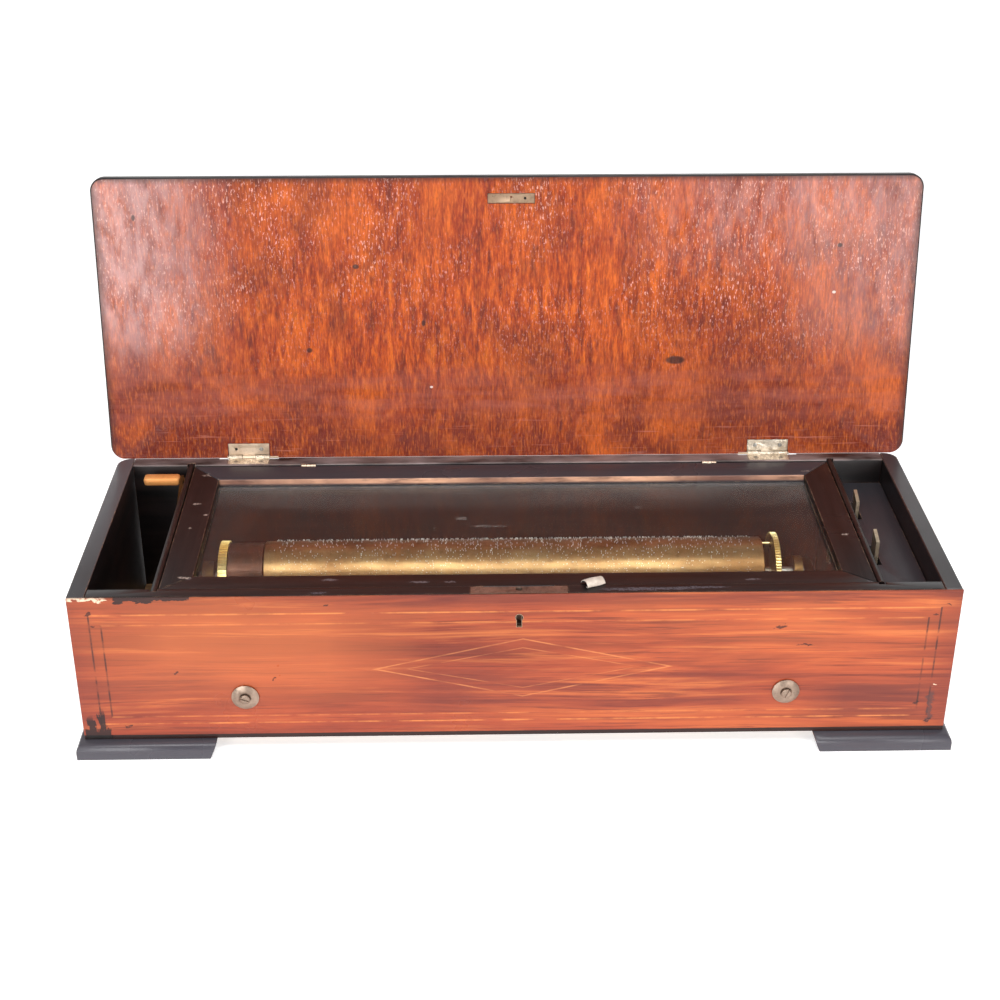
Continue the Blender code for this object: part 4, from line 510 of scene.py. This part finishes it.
def clear_glass():
    """The pane: clear, faintly smeared and dusty, hazy along the back, where the haze is dust and a painted
    reflection.
    """
    s = Shader("pane_glass")
    x, y = s.axes()[:2]
    smear = s.noise((7, 13, 7), 5, 0.6, 1.2)
    dust = s.patches((410, 530, 290), 5, 0.66, 0.8, 0.7, 1.3)
    rough = s.plus(s.fit(smear, 0.45, 0.8, 0.0, 0.035), s.both(dust, 0.03))
    colour = s.mix(s.fit(smear, 0.5, 0.9, 0.0, 0.3), (246, 250, 248), (226, 232, 228))
    normal = s.bump(s.noise(9, 2), 0.0004, 0.06)
    s.finish(colour, rough, 0.0, normal, Transmission_Weight=1.0, IOR=1.26)
    shadow = s.add("LightPath").outputs["Is Shadow Ray"]
    see = s.add("BsdfTransparent", {"Color": (0.93, 0.95, 0.94, 1.0)})
    through = s.add("MixShader", {0: shadow, 1: s.shader.outputs[0], 2: see.outputs[0]})
    # A grey diffuse film at the ends, in scuffs and along the back; along the back it is dust and painted
    # reflection.
    dust_and_sheen = s.add("BsdfDiffuse", {"Color": s.mix(smear, (190, 182, 178), (160, 150, 146))})
    ends = s.fit(s.size(x), 0.17, 0.22, 0.0, 0.02)
    back = s.both(s.fit(y, 0.008, 0.044), s.fit(smear, 0.3, 0.7, 0.04, 0.17))
    scuffs = s.spots(x, y, ((-35, -1, 4.5, 1.2), (-16, -12, 12, 0.8), (88, 12, 3, 0.8)))
    scuffs = s.both(scuffs, s.patches(600, 3, 0.4, 0.6), 0.35)
    dust_and_sheen_share = s.plus(s.most(back, ends, scuffs), 0.003)
    both = s.add("MixShader", {0: dust_and_sheen_share, 1: through.outputs[0], 2: dust_and_sheen.outputs[0]})
    s.tree.links.new(both.outputs[0], s.output.inputs["Surface"])
    return s.material


def ribbon_cloth(name, fresh, soiled):
    s = Shader(name)
    threads = []
    for scale, way in ((620.0, "X"), (480.0, "Y")):
        inputs = {"Vector": s.place(), "Scale": scale, "Distortion": 0.4}
        threads.append(s.add("TexWave", inputs, bands_direction=way).outputs[1])
    weave = s.most(*threads)
    colour = s.mix(s.patches(130, 4, 0.35, 0.7), fresh, soiled)
    colour = s.over(colour, soiled, s.fit(weave, 0.7, 0.1), 0.35)
    normal = s.bump(weave, 0.0001, 0.8)
    return s.finish(colour, s.fit(weave, 0.0, 1.0, 0.9, 0.7), 0.0, normal, Sheen_Weight=0.3)


def drum_brass():
    """The pinned drum: lacquered brass, faint rings from turning, brown haze and spots."""
    s = Shader("drum_brass")
    rings = s.noise((1500, 12, 12), 4, 0.6)
    haze = s.noise((26, 60, 60), 5, 0.6, 0.3)
    spots = s.patches(240, 5, 0.55, 0.7, 0.65)
    colour = s.mix(s.fit(haze, 0.35, 0.68), (170, 136, 94), (122, 88, 54))
    colour = s.over(colour, (104, 72, 42), spots, 0.5)
    colour = s.over(colour, (130, 94, 54), s.fit(rings, 0.5, 0.75), 0.3)
    rough = s.fit(haze, 0.3, 0.7, 0.32, 0.42)
    normal = s.bump(rings, 0.00003, 0.7)
    return s.finish(colour, rough, 1.0, normal)


stock = {
    "black_x": ebonised("black_wood_long", "x"),
    "black_y": ebonised("black_wood_across", "y"),
    "rim_front": ebonised("black_wood_front_rim", "x", marks=(
        (83, -106.8, 30, 1.8), (115, -105.5, 18, 1.2), (-124, -107.8, 6, 1),
    ), mark=(92, 90, 98)),
    "rail_front": ebonised("black_wood_front_rail", "x", marks=(
        (-211.5, -88, 6, 1.2), (-117.7, -91, 5, 1.4), (-60.7, -94.5, 6, 1.2),
        (-41.8, -94.9, 4, 1), (225, -98, 3, 1.2), (150, -95, 5, 1),
    ), mark=(112, 104, 108)),
    "rail_back": ebonised("black_wood_back_rail", "x", lift=0.3, marks=(
        (-216, 57, 4, 1.2), (-208, 48, 3, 1.2), (210, 53, 3, 1),
    ), bare=(0.0474, 0.113)),
    "stile": ebonised("black_wood_stile", "y", marks=(
        (219.6, -38.8, 2.2, 1.2), (-215.3, 12, 2.8, 1.2), (-207.2, -3.8, 1.4, 1.2),
        (-215.5, -22, 1, 1), (-210, -86.5, 5, 1.2), (-213, 54, 5, 1.4),
    )),
    "black_in": ebonised("black_wood_inside", "y", 0.42, 0.1, 0.22),
    # On the feet the lift is a painted reflection of the softboxes.
    "foot": ebonised("black_wood_foot", "x", 0.28, 0.1, 0.42),
    "front": front_veneer(),
    "under": lid_underside(),
    "outside": lid_outside(),
    "end_left": case_wood("end_wood_left", "y", "left"),
    "end_right": case_wood("end_wood_right", "y", "right"),
    "back": case_wood("back_wood", "x", "back"),
    "bottom": bare_wood("bottom_board", "x", (120, 86, 58), (156, 118, 80), (184, 146, 104)),
    "brass": metal("brass_satin", (214, 178, 104), (172, 130, 66), (96, 66, 38), 0.34),
    "bright": metal("brass_bright", (242, 208, 138), (206, 160, 88), (120, 84, 46), 0.26),
    "dim": metal("brass_dark", (118, 90, 54), (86, 64, 38), (46, 34, 24), 0.46),
    "barrel": metal("barrel_brown", (96, 68, 56), (64, 44, 36), (38, 26, 22), 0.38),
    # The handle's brass is tinted orange: painted reflection of the red lid above it.
    "handle": metal("handle_brass", (250, 178, 108), (240, 160, 88), (204, 132, 72), 0.45, bare=0.35),
    "hinge": metal("hinge_pale_brass", (232, 210, 186), (202, 176, 150), (112, 86, 64), 0.3, bare=0.6),
    "crinkle": metal(
        "hinge_crinkled", (242, 230, 212), (208, 190, 166), (112, 92, 72), 0.2, crinkle=0.0011, bare=0.6
    ),
    "catch": metal(
        "catch_plate_worn", (176, 148, 122), (134, 108, 86), (62, 46, 38), 0.4, tarnish=0.6, bare=0.7
    ),
    "selvedge": metal("lock_plate_dull", (172, 150, 134), (116, 96, 86), (62, 48, 42), 0.42),
    "steel": metal("steel_satin", (188, 184, 176), (136, 132, 126), (84, 70, 58), 0.32, (30, 900, 900)),
    "comb": metal("comb_steel", (196, 192, 184), (150, 146, 138), (96, 82, 68), 0.3, (900, 20, 900), 0.35),
    "blued": metal("steel_tempered", (104, 92, 84), (62, 56, 56), (48, 34, 28), 0.36),
    "washer": metal("washer_brown", (172, 152, 136), (132, 112, 98), (86, 70, 60), 0.42, tarnish=0.35),
    "gilt": metal("bronzed_iron", (96, 76, 42), (66, 50, 28), (38, 28, 18), 0.5, (90, 90, 90)),
    "lever": metal(
        "lever_brass", (228, 208, 182), (186, 162, 132), (90, 70, 52), 0.26, tarnish=0.35, bare=0.75
    ),
    "wheel": metal("wheel_brass", (240, 218, 160), (204, 172, 106), (128, 96, 54), 0.28, tarnish=0.3),
    "drum": drum_brass(),
    "pins": metal("pin_steel", (240, 238, 236), (206, 202, 198), (140, 126, 110), 0.3, bare=0.5),
    "glass": clear_glass(),
    "ribbon": ribbon_cloth("tab_ribbon", (232, 218, 204), (186, 168, 150)),
    # The ribbon's other side is dark brown: painted shade inside the curl.
    "ribbon_painted_shade": ribbon_cloth("tab_ribbon_painted_shade", (46, 38, 36), (26, 20, 20)),
}


# ---------------------------------------------------------------- shapes


def link(name, data):
    """A new object in the scene."""
    made = bpy.data.objects.new(name, data)
    bpy.context.scene.collection.objects.link(made)
    return made


def applied(helper):
    """The mesh of a helper object with its modifiers applied."""
    graph = bpy.context.evaluated_depsgraph_get()
    graph.update()
    return bpy.data.meshes.new_from_object(helper.evaluated_get(graph), depsgraph=graph)


def quads(rows, count, closed=True, looped=False, start=0):
    """Faces between rows of points. Closed joins a row's ends, looped the last row to the first."""
    faces = []
    for row in range(rows if looped else rows - 1):
        low, high = start + row * count, start + (row + 1) % rows * count
        for step in range(count if closed else count - 1):
            after = (step + 1) % count
            faces.append([low + step, low + after, high + after, high + step])
    return faces


def add_piece(name, mesh, body, slot, material, *replaced):
    """A new piece: its mesh is in the row frame, and it rides on a body."""
    piece = link(name, mesh)
    if not mesh.materials:
        mesh.materials.append(stock[material])
    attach(piece, body)
    if replaced:
        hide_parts(*replaced)
    return piece


def mesh_of(name, points, faces, smooth=True, sharp=40.0):
    """A welded mesh with its faces outward; smooth shading stops at edges over the sharp angle."""
    mesh = bpy.data.meshes.new(name)
    mesh.from_pydata([tuple(point) for point in points], [], faces)
    mesh.validate()
    build = bmesh.new()
    build.from_mesh(mesh)
    bmesh.ops.remove_doubles(build, verts=build.verts, dist=1e-7)
    bmesh.ops.recalc_face_normals(build, faces=build.faces)
    build.to_mesh(mesh)
    build.free()
    if smooth:
        mesh.shade_smooth()
        mesh.set_sharp_from_angle(angle=math.radians(sharp))
    else:
        mesh.shade_flat()
    return mesh


def body_of(node):
    return next(body for body, members in frame["record"]["behaviour"]["bodies"].items() if node in members)


def slot_of(node):
    return next(row["material_slot"] for row in frame["record"]["subparts"] if row["node"] == node)


def cleaned(node, joined):
    """The node's mesh, welded, and with its flat faces joined if asked."""
    build = bmesh.new()
    build.from_mesh(nodes[node].data)
    bmesh.ops.remove_doubles(build, verts=build.verts, dist=2e-6)
    if joined:
        bmesh.ops.dissolve_limit(build, angle_limit=math.radians(0.6), verts=build.verts, edges=build.edges)
    mesh = bpy.data.meshes.new(node + "_fine")
    build.to_mesh(mesh)
    build.free()
    return mesh


def soften(node, material, width, angle=38.0, smooth=18.0, joined=True):
    """Replaces a CAD node by the same shape with its edges eased; faces closer than smooth blend."""
    helper = link(node + "_helper", cleaned(node, joined))
    bevel = helper.modifiers.new("ease", "BEVEL")
    bevel.width = width
    bevel.segments = 2
    bevel.limit_method = "ANGLE"
    bevel.angle_limit = math.radians(angle)
    bevel.use_clamp_overlap = True
    eased = applied(helper)
    eased.name = node + "_eased"
    bpy.data.objects.remove(helper)
    eased.materials.clear()
    eased.shade_smooth()
    eased.set_sharp_from_angle(angle=math.radians(smooth))
    return add_piece(node + "_shaped", eased, body_of(node), slot_of(node), material, node)


def paint(node, material):
    """A CAD node that stays gets a finished material."""
    for spot in nodes[node].material_slots:
        spot.material = stock[material]
    if not nodes[node].material_slots:
        nodes[node].data.materials.append(stock[material])


def facing(origin, direction, turn=0.0):
    """The placement that takes +Z to a direction at an origin."""
    rotation = Vector(direction).to_track_quat("Z", "Y").to_matrix().to_4x4()
    return Matrix.Translation(origin) @ rotation @ Matrix.Rotation(turn, 4, "Z")


def turned(profile, steps=48):
    """Points and faces of a shape turned about Z. A profile point on the axis closes that end."""
    points, faces, rings = [], [], []
    for radius, height in profile:
        if radius <= 0:
            points.append((0.0, 0.0, height))
            rings.append([len(points) - 1])
            continue
        first = len(points)
        for step in range(steps):
            angle = 2 * math.pi * step / steps
            points.append((radius * math.cos(angle), radius * math.sin(angle), height))
        rings.append(list(range(first, first + steps)))
    for low, high in zip(rings, rings[1:]):
        for step in range(steps):
            after = (step + 1) % steps
            around = ((low, step), (low, after), (high, after), (high, step))
            corners = [ring[place % len(ring)] for ring, place in around]
            faces.append(list(dict.fromkeys(corners)))
    return points, faces


def slotted_head(radius, height, slot, depth, steps=14):
    """Points and faces of a low domed screw head with a straight slot, its underside at Z 0."""
    points, faces = [], []
    for side in (1, -1):
        first = len(points)
        start = math.asin(slot / 2 / radius)
        arc = [start + (math.pi - 2 * start) * step / steps for step in range(steps + 1)]
        for share, level in ((1.0, 0.0), (1.0, height * 0.55), (0.86, height * 0.86), (0.55, height)):
            for angle in arc:
                across = radius * math.cos(angle) * share
                up = max(radius * math.sin(angle) * share, slot / 2)
                points.append((across, side * up, level))
        count = len(arc)
        faces += quads(4, count, start=first)
        faces.append([first + 3 * count + step for step in range(count)])
        faces.append([first + step for step in reversed(range(count))])
    base = len(points)
    edge, floor = radius * 0.97, height - depth
    disc, sides = turned([(0, 0), (edge, 0), (edge, floor), (0, floor)], 24)
    points += disc
    faces += [[base + index for index in face] for face in sides]
    return points, faces


def add_screw(name, origin, direction, body, slot, material, radius, height, turn):
    """A screw head at an origin, facing a direction, with its slot turned."""
    points, faces = slotted_head(radius, height, radius * 0.28, height * 0.8)
    placed = facing(origin, direction, turn)
    points = [placed @ Vector(point) for point in points]
    return add_piece(name, mesh_of(name, points, faces, sharp=35.0), body, slot, material)


# Plain woodwork, eased along its edges.
soften("case_front_panel", "rim_front", 0.0006)
soften("case_back_panel", "back", 0.0006, joined=False)
soften("case_end_left", "end_left", 0.0006)
soften("case_end_right", "end_right", 0.0006, angle=60.0)
soften("case_bottom", "bottom", 0.0004)
soften("front_veneer", "front", 0.0003)
soften("winding_partition", "black_y", 0.0003)
soften("control_partition", "black_y", 0.0005)
soften("control_floor", "black_in", 0.0004)
soften("glass_lid_rest", "black_x", 0.0004)
for side in ("front_left", "front_right", "back_left", "back_right"):
    soften("foot_" + side, "foot", 0.0005, 50.0, 40.0)
soften("glass_frame_front_rail", "rail_front", 0.0006)
soften("glass_frame_left_stile", "stile", 0.0006)
soften("glass_frame_right_stile", "stile", 0.0006)
soften("glass_frame_back_rail", "rail_back", 0.0006)
paint("glass_pane", "glass")

# Metalwork, eased along its edges.
for material, width, members in (
    ("selvedge", 0.00015, "lock_case"),
    ("catch", 0.00015, "lid_catch_plate"),
    ("crinkle", 0.00015, "lid_hinge_left_case_leaf lid_hinge_right_case_leaf lid_hinge_right_lid_leaf"),
    ("hinge", 0.00015, "lid_hinge_left_lid_leaf lid_hinge_left_pin lid_hinge_right_pin"),
    ("hinge", 0.0001, "glass_hinge_left_frame_leaf glass_hinge_left_wall_leaf"),
    ("hinge", 0.0001, "glass_hinge_right_frame_leaf glass_hinge_right_wall_leaf"),
    ("steel", 0.0001, "lock_bolt tune_snail"),
    ("steel", 0.0002, "winding_arbor cylinder_arbor"),
    ("washer", 0.0002, "bedplate_bolt_left bedplate_bolt_right"),
    ("wheel", 0.00015, "ratchet_wheel"),
    ("wheel", 0.0001, "great_wheel"),
    ("blued", 0.0001, "ratchet_click"),
    ("gilt", 0.0008, "bedplate"),
    ("dim", 0.0003, "barrel_bridge winding_lever"),
    ("dim", 0.0004, "cylinder_bridge"),
    ("barrel", 0.0003, "spring_barrel"),
    ("brass", 0.0003, "governor_frame"),
    ("brass", 0.0004, "comb_base"),
    ("lever", 0.0003, "start_stop_lever repeat_lever"),
):
    for node in members.split():
        soften(node, material, width, smooth=24.0)
soften("winding_handle", "handle", 0.0012, smooth=24.0, joined=False)
for node, material in (
    ("mainspring", "blued"),
    ("comb", "comb"),
    ("governor_first_arbor", "brass"),
    ("governor_second_arbor", "brass"),
    ("fan_spindle", "steel"),
):
    paint(node, material)


def rounded_outline(low_x, high_x, low_y, high_y, radius, steps=12):
    """Points around a rectangle with round corners."""
    points = []
    for centre_x, centre_y, start in (
        (high_x - radius, high_y - radius, 0.0),
        (low_x + radius, high_y - radius, 90.0),
        (low_x + radius, low_y + radius, 180.0),
        (high_x - radius, low_y + radius, 270.0),
    ):
        for step in range(steps + 1):
            angle = math.radians(start + 90.0 * step / steps)
            points.append((centre_x + radius * math.cos(angle), centre_y + radius * math.sin(angle)))
    return points


def make_lid_board():
    """The lid: a slab with a wide round on top and a small one under, built shut and turned open.

    Its back edge stays square and reaches half a millimetre past the hinges' axis. The hinge leaves
    and the catch plate lie in mortises.
    """
    shut = [lid_shut @ vertex.co for vertex in nodes["lid_board"].data.vertices]
    low = [min(point[axis] for point in shut) for axis in range(3)]
    high = [max(point[axis] for point in shut) for axis in range(3)]
    under, over, corner, reach = 0.001, 0.0042, 0.0095, 0.0005
    rows = []
    for step in range(5):
        angle = math.radians(90.0 * step / 4)
        rows.append((under * (1 - math.sin(angle)), low[2] + under * (1 - math.cos(angle))))
    for step in range(9):
        angle = math.radians(90.0 * step / 8)
        rows.append((over * (1 - math.cos(angle)), high[2] - over * (1 - math.sin(angle))))
    points = []
    for row, (inset, level) in enumerate(rows):
        back = 0.0 if row < 5 else inset
        outline = rounded_outline(
            low[0] + inset, high[0] - inset, low[1] + inset, high[1] + reach - back, corner - inset
        )
        count = len(outline)
        points += [(x, y, level) for x, y in outline]
    faces = quads(len(rows), count)
    faces.append(list(reversed(range(count))))
    faces.append([(len(rows) - 1) * count + step for step in range(count)])
    mesh = mesh_of("lid_board_fine", points, faces, sharp=30.0)
    for material in ("black_x", "under", "outside"):
        mesh.materials.append(stock[material])
    for index, face in enumerate(mesh.polygons[-2:]):
        face.material_index = index + 1
        face.use_smooth = False

    # Room for the leaves, the catch plate and the knuckles.
    room, plate_depth, leaf_depth, knuckle_depth, knuckle_half = 0.0003, 0.0012, 0.0011, 0.0016, 0.0152
    below = low[2] - 0.002
    rooms = []
    for node in ("lid_hinge_left_lid_leaf", "lid_hinge_right_lid_leaf", "lid_catch_plate"):
        placed = [lid_shut @ vertex.co for vertex in nodes[node].data.vertices]
        first = [min(point[axis] for point in placed) - room for axis in range(3)]
        last = [max(point[axis] for point in placed) + room for axis in range(3)]
        first[2] = below
        if node == "lid_catch_plate":
            last[2] = low[2] + plate_depth + room
        else:
            last[1] = high[1] + reach + 0.002
            last[2] = low[2] + leaf_depth + room
        rooms.append((first, last))
    for middle in (-hinge_x, hinge_x):
        rooms.append((
            (middle - knuckle_half, hinge_y - 0.002, below),
            (middle + knuckle_half, hinge_y + 0.003, low[2] + knuckle_depth),
        ))
    board = link("lid_board_helper", mesh)
    helpers = [board]
    for ends in rooms:
        spans = list(zip(*ends))
        corners = [(x, y, z) for z in spans[2] for y in spans[1] for x in spans[0]]
        sides = [(0, 2, 3, 1), (4, 5, 7, 6), (0, 1, 5, 4), (1, 3, 7, 5), (3, 2, 6, 7), (2, 0, 4, 6)]
        cutter = link("lid_room_helper", mesh_of("lid_room", corners, sides, smooth=False))
        helpers.append(cutter)
        cut = board.modifiers.new("room", "BOOLEAN")
        cut.operation = "DIFFERENCE"
        cut.solver = "EXACT"
        cut.object = cutter
    fine = applied(board)
    for helper in helpers:
        bpy.data.objects.remove(helper)
    fine.transform(lid_open)
    add_piece("lid_board_shaped", fine, "lid", "lid_wood", "under", "lid_board")


make_lid_board()


def make_drum():
    """The drum with its rows of pins, six tunes side by side on each tooth's track."""
    left, right = drum_low.x, drum_high.x
    radius, cap, face, bore = 0.0235, 0.0006, 0.0212, 0.0042
    dish, lip = 0.0004, 0.0029
    profile = [
        (bore, left + dish), (face - cap, left + dish), (face, left), (radius - cap, left),
        (radius, left + cap), (radius, right - lip - cap), (radius - cap, right - lip),
        (face, right - lip), (face - cap, right - lip - dish), (bore, right - lip - dish),
        (bore, left + dish),
    ]
    points, faces = turned(profile, 160)
    place = facing((0.0, drum_axis.y, drum_axis.z), (1, 0, 0))
    points = [place @ Vector(point) for point in points]
    add_piece("pinned_cylinder_shaped", mesh_of("drum", points, faces), "cylinder", "bright_brass", "drum")

    draw = random.Random(7)
    teeth, tunes, beats = 96, 6, 96
    first, last = -0.1583, 0.16
    track, pin_radius, pin_height, rooted = 0.00042, 0.0002, 0.00095, 0.0002
    points, faces = [], []
    for tooth in range(teeth):
        centre = first + (last - first) * tooth / (teeth - 1)
        busy = 38 + int(26 * math.sin(math.pi * tooth / teeth)) + draw.randrange(-8, 9)
        for _ in range(busy):
            x = centre + track * (draw.randrange(tunes) - 2.5)
            beat = draw.randrange(beats)
            angle = 2 * math.pi * (beat + draw.uniform(-0.12, 0.12)) / beats
            outward = Vector((0.0, math.cos(angle), math.sin(angle)))
            sideways = Vector((0.0, -math.sin(angle), math.cos(angle)))
            start = len(points)
            for reach in (radius - rooted, radius + pin_height):
                for turn_x, turn_s in ((1, 0), (0, 1), (-1, 0), (0, -1)):
                    offset = Vector((turn_x * pin_radius, 0, 0)) + sideways * turn_s * pin_radius
                    points.append(Vector((x, drum_axis.y, drum_axis.z)) + outward * reach + offset)
            for side in range(4):
                after = (side + 1) % 4
                faces.append([start + side, start + after, start + 4 + after, start + 4 + side])
            faces.append([start + 4, start + 5, start + 6, start + 7])
            faces.append([start + 3, start + 2, start + 1, start])
    pins = mesh_of("drum_pins", points, faces, smooth=False)
    add_piece("cylinder_pins", pins, "cylinder", "steel", "pins", "pinned_cylinder")


make_drum()


def make_washer(node):
    """A domed washer, turned about the bolt."""
    low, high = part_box(node)
    centre = ((low.x + high.x) / 2, high.y, (low.z + high.z) / 2)
    radius = (high.x - low.x) / 2
    height = high.y - low.y
    hole, lip, crown = 0.0027, 0.0036, 0.0044
    profile = [(hole, 0.0), (radius * 0.97, 0.0), (radius, height * 0.12), (radius, height * 0.34)]
    for step in range(1, 9):
        share = step / 8
        reach = radius - (radius - crown) * share
        profile.append((reach, height * (0.34 + 0.66 * math.sin(share * math.pi / 2))))
    profile += [(lip, height * 0.97), (hole, height * 0.8), (hole, 0.0)]
    points, faces = turned(profile, 96)
    placed = facing(centre, (0, -1, 0))
    points = [placed @ Vector(point) for point in points]
    mesh = mesh_of(node + "_fine", points, faces)
    add_piece(node + "_shaped", mesh, "case", "washer_metal", "washer", node)


make_washer("bolt_washer_left")
make_washer("bolt_washer_right")


def make_pull_tab():
    """The ribbon tab: a short woven strip, arched up and curled back on the front rail."""
    width = 0.0126
    turn = math.radians(27.0)
    middle_x, middle_y = 0.0484, -0.0997
    path = [
        (-0.0952, 0.1182), (-0.0958, 0.1196), (-0.097, 0.121), (-0.0988, 0.1219), (-0.1005, 0.1221),
        (-0.1021, 0.1216), (-0.1032, 0.1206), (-0.1038, 0.1196), (-0.1036, 0.1189), (-0.1026, 0.1187),
        (-0.1014, 0.1189),
    ]
    fine = []
    for index in range(len(path) - 1):
        before = path[max(index - 1, 0)]
        start, end = path[index], path[index + 1]
        after = path[min(index + 2, len(path) - 1)]
        for step in range(4):
            t = step / 4
            weights = (
                -0.5 * t + t * t - 0.5 * t**3,
                1 - 2.5 * t * t + 1.5 * t**3,
                0.5 * t + 2 * t * t - 1.5 * t**3,
                -0.5 * t * t + 0.5 * t**3,
            )
            knots = (before, start, end, after)
            fine.append(tuple(sum(w * p[axis] for w, p in zip(weights, knots)) for axis in range(2)))
    fine.append(path[-1])
    columns = 14
    points = []
    for y, z in fine:
        for column in range(columns + 1):
            share = column / columns
            side = width * (share - 0.5)
            front = y - middle_y + 0.0003 * math.sin(share * 5.0 + y * 900)
            lift = max(z - 0.1191, 0.0) * (0.1 * math.sin(share * math.pi) - 0.1 * share)
            x = middle_x + side * math.cos(turn) - front * math.sin(turn)
            points.append((x, middle_y + side * math.sin(turn) + front * math.cos(turn), z + lift))
    mesh = mesh_of("pull_tab_cloth", points, quads(len(fine), columns + 1, closed=False))
    for material in ("ribbon", "ribbon_painted_shade"):
        mesh.materials.append(stock[material])
    tab = link("pull_tab_helper", mesh)
    thick = tab.modifiers.new("thick", "SOLIDIFY")
    thick.thickness = 0.00035
    thick.offset = 0.0
    # The strip's other side takes the dark cloth: painted shade inside the curl.
    thick.material_offset = 1
    solid = applied(tab)
    bpy.data.objects.remove(tab)
    tab = add_piece("pull_tab_curled", solid, "glass_lid", "ribbon", "ribbon", "pull_tab")
    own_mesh(tab)


make_pull_tab()

# Slotted screws in the hinge leaves. One lid screw is missing, as in the photograph.
screw = ("steel", "steel", 0.0015, 0.0002)
leaf_middle, lid_face, rim_face = 0.006, 0.11905, rim_z + 0.00005
for hand, name in ((-1, "left"), (1, "right")):
    for place in (0.178, 0.196):
        x, y = hand * place, hinge_y - leaf_middle
        label = f"{name}_{round(place * 1000)}"
        if label != "left_196":
            spot = lid_open @ Vector((x, y, lid_face))
            outward = lid_open.to_3x3() @ Vector((0, 0, -1))
            add_screw("screw_lid_" + label, spot, outward, "lid", *screw, place * 9)
        add_screw("screw_case_" + label, (x, y, rim_face), (0, 0, 1), "case", *screw, place * 5)


def make_keyhole_lining():
    """A thin metal strip bent round the keyhole, just proud of the veneer."""
    middle_x, middle_z = (veneer_low.x + veneer_high.x) / 2 + 0.0015, rim_z - 0.017
    radius, half, length = 0.0024, 0.0016, 0.0068
    inner, outer, front, back = -0.00002, 0.0003, -0.0001, 0.0012
    rings = []
    for grow, y in ((inner, back), (inner, front), (outer, front), (outer, back)):
        start = math.asin((half + grow) / (radius + grow))
        ring = []
        for step in range(25):
            angle = -math.pi / 2 + start + (2 * math.pi - 2 * start) * step / 24
            ring.append((math.cos(angle) * (radius + grow), math.sin(angle) * (radius + grow)))
        ring += [(-half - grow, -length - grow), (half + grow, -length - grow)]
        rings.append([(middle_x + x, veneer_low.y + y, middle_z + z) for x, z in ring])
    faces = quads(4, len(rings[0]), looped=True)
    points = [point for ring in rings for point in ring]
    add_piece("keyhole_lining", mesh_of("keyhole_strip", points, faces), "case", "washer_metal", "catch")


make_keyhole_lining()

# Comb screws, each on the comb's back over its brass base.
comb_low, comb_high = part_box("comb")
comb_screws, inset, setback = 7, 0.012, 0.0062
screw = ("blued_steel", "blued", 0.003, 0.0018)
for index in range(comb_screws):
    x = comb_low.x + inset + (comb_high.x - comb_low.x - 2 * inset) * index / (comb_screws - 1)
    spot = (x, comb_low.y + setback, comb_high.z)
    add_screw(f"comb_screw_{index + 1}", spot, (0, 0, 1), "case", *screw, index * 1.1)

# ---------------------------------------------------------------- floor, light, camera


def make_stage():
    """White paper that rises behind the box. It ends in front, as the lid mirrors what lies there."""
    front, bend = -0.62, 1.2
    rows = [(front, 0.0), (bend, 0.0)]
    for step in range(1, 13):
        angle = math.radians(90 * step / 12)
        rows.append((bend + bend * math.sin(angle), bend * (1 - math.cos(angle))))
    rows.append((2 * bend, 4.0))
    points = [(x, y, z) for y, z in rows for x in (-5.0, 5.0)]
    mesh = mesh_of("studio_floor", points, quads(len(rows), 2, closed=False))
    s = Shader("studio_paper")
    white = (1.0, 1.0, 1.0, 1.0)
    colour = s.mix(s.patches(1.4, 3, 0.4, 0.6), (0.86, 0.86, 0.86, 1.0), (0.9, 0.9, 0.9, 1.0))
    mesh.materials.append(s.finish(colour, 0.9, Emission_Color=white, Emission_Strength=0.6))
    link("studio_floor", mesh)


def add_light(name, place, target, width, height, power):
    light = bpy.data.lights.new(name, "AREA")
    light.shape = "RECTANGLE"
    light.size = width
    light.size_y = height
    light.energy = power
    lamp = link(name, light)
    lamp.location = place
    lamp.rotation_euler = (Vector(target) - Vector(place)).to_track_quat("-Z", "Y").to_euler()


make_stage()
add_light("softbox_left", (-0.7, -1.35, 0.42), (-0.1, 0.05, 0.2), 0.55, 0.8, 11)
add_light("softbox_right", (0.74, -1.35, 0.42), (0.1, 0.05, 0.2), 0.55, 0.8, 9)
add_light("front_bank", (0.0, -0.95, 1.5), (0.0, 0.0, 0.1), 1.7, 0.6, 22)

# A studio that is bright behind the box, dimmer above and dark in front.
world = bpy.data.worlds.new("studio")
world.use_nodes = True
sky = world.node_tree
place = sky.nodes.new("ShaderNodeTexCoord")
split = sky.nodes.new("ShaderNodeSeparateXYZ")
fade = sky.nodes.new("ShaderNodeMapRange")
sky.links.new(place.outputs["Generated"], split.inputs[0])
sky.links.new(split.outputs["Y"], fade.inputs["Value"])
for name, value in (("From Min", -0.2), ("From Max", 0.7), ("To Min", 0.06), ("To Max", 0.9)):
    fade.inputs[name].default_value = value
background = sky.nodes["Background"]
background.inputs["Color"].default_value = (1.0, 1.0, 1.0, 1.0)
sky.links.new(fade.outputs[0], background.inputs["Strength"])
bpy.context.scene.world = world

lens = bpy.data.cameras.new("camera")
lens.lens = 60.98
lens.sensor_width = 36.0
camera = link("camera", lens)
camera.location = (-0.03115, -1.01225, 0.66999)
camera.rotation_euler = Euler((math.pi / 2 - 0.49373, -0.0017, -0.02175))
bpy.context.scene.camera = camera
bpy.context.scene.view_settings.view_transform = "Standard"
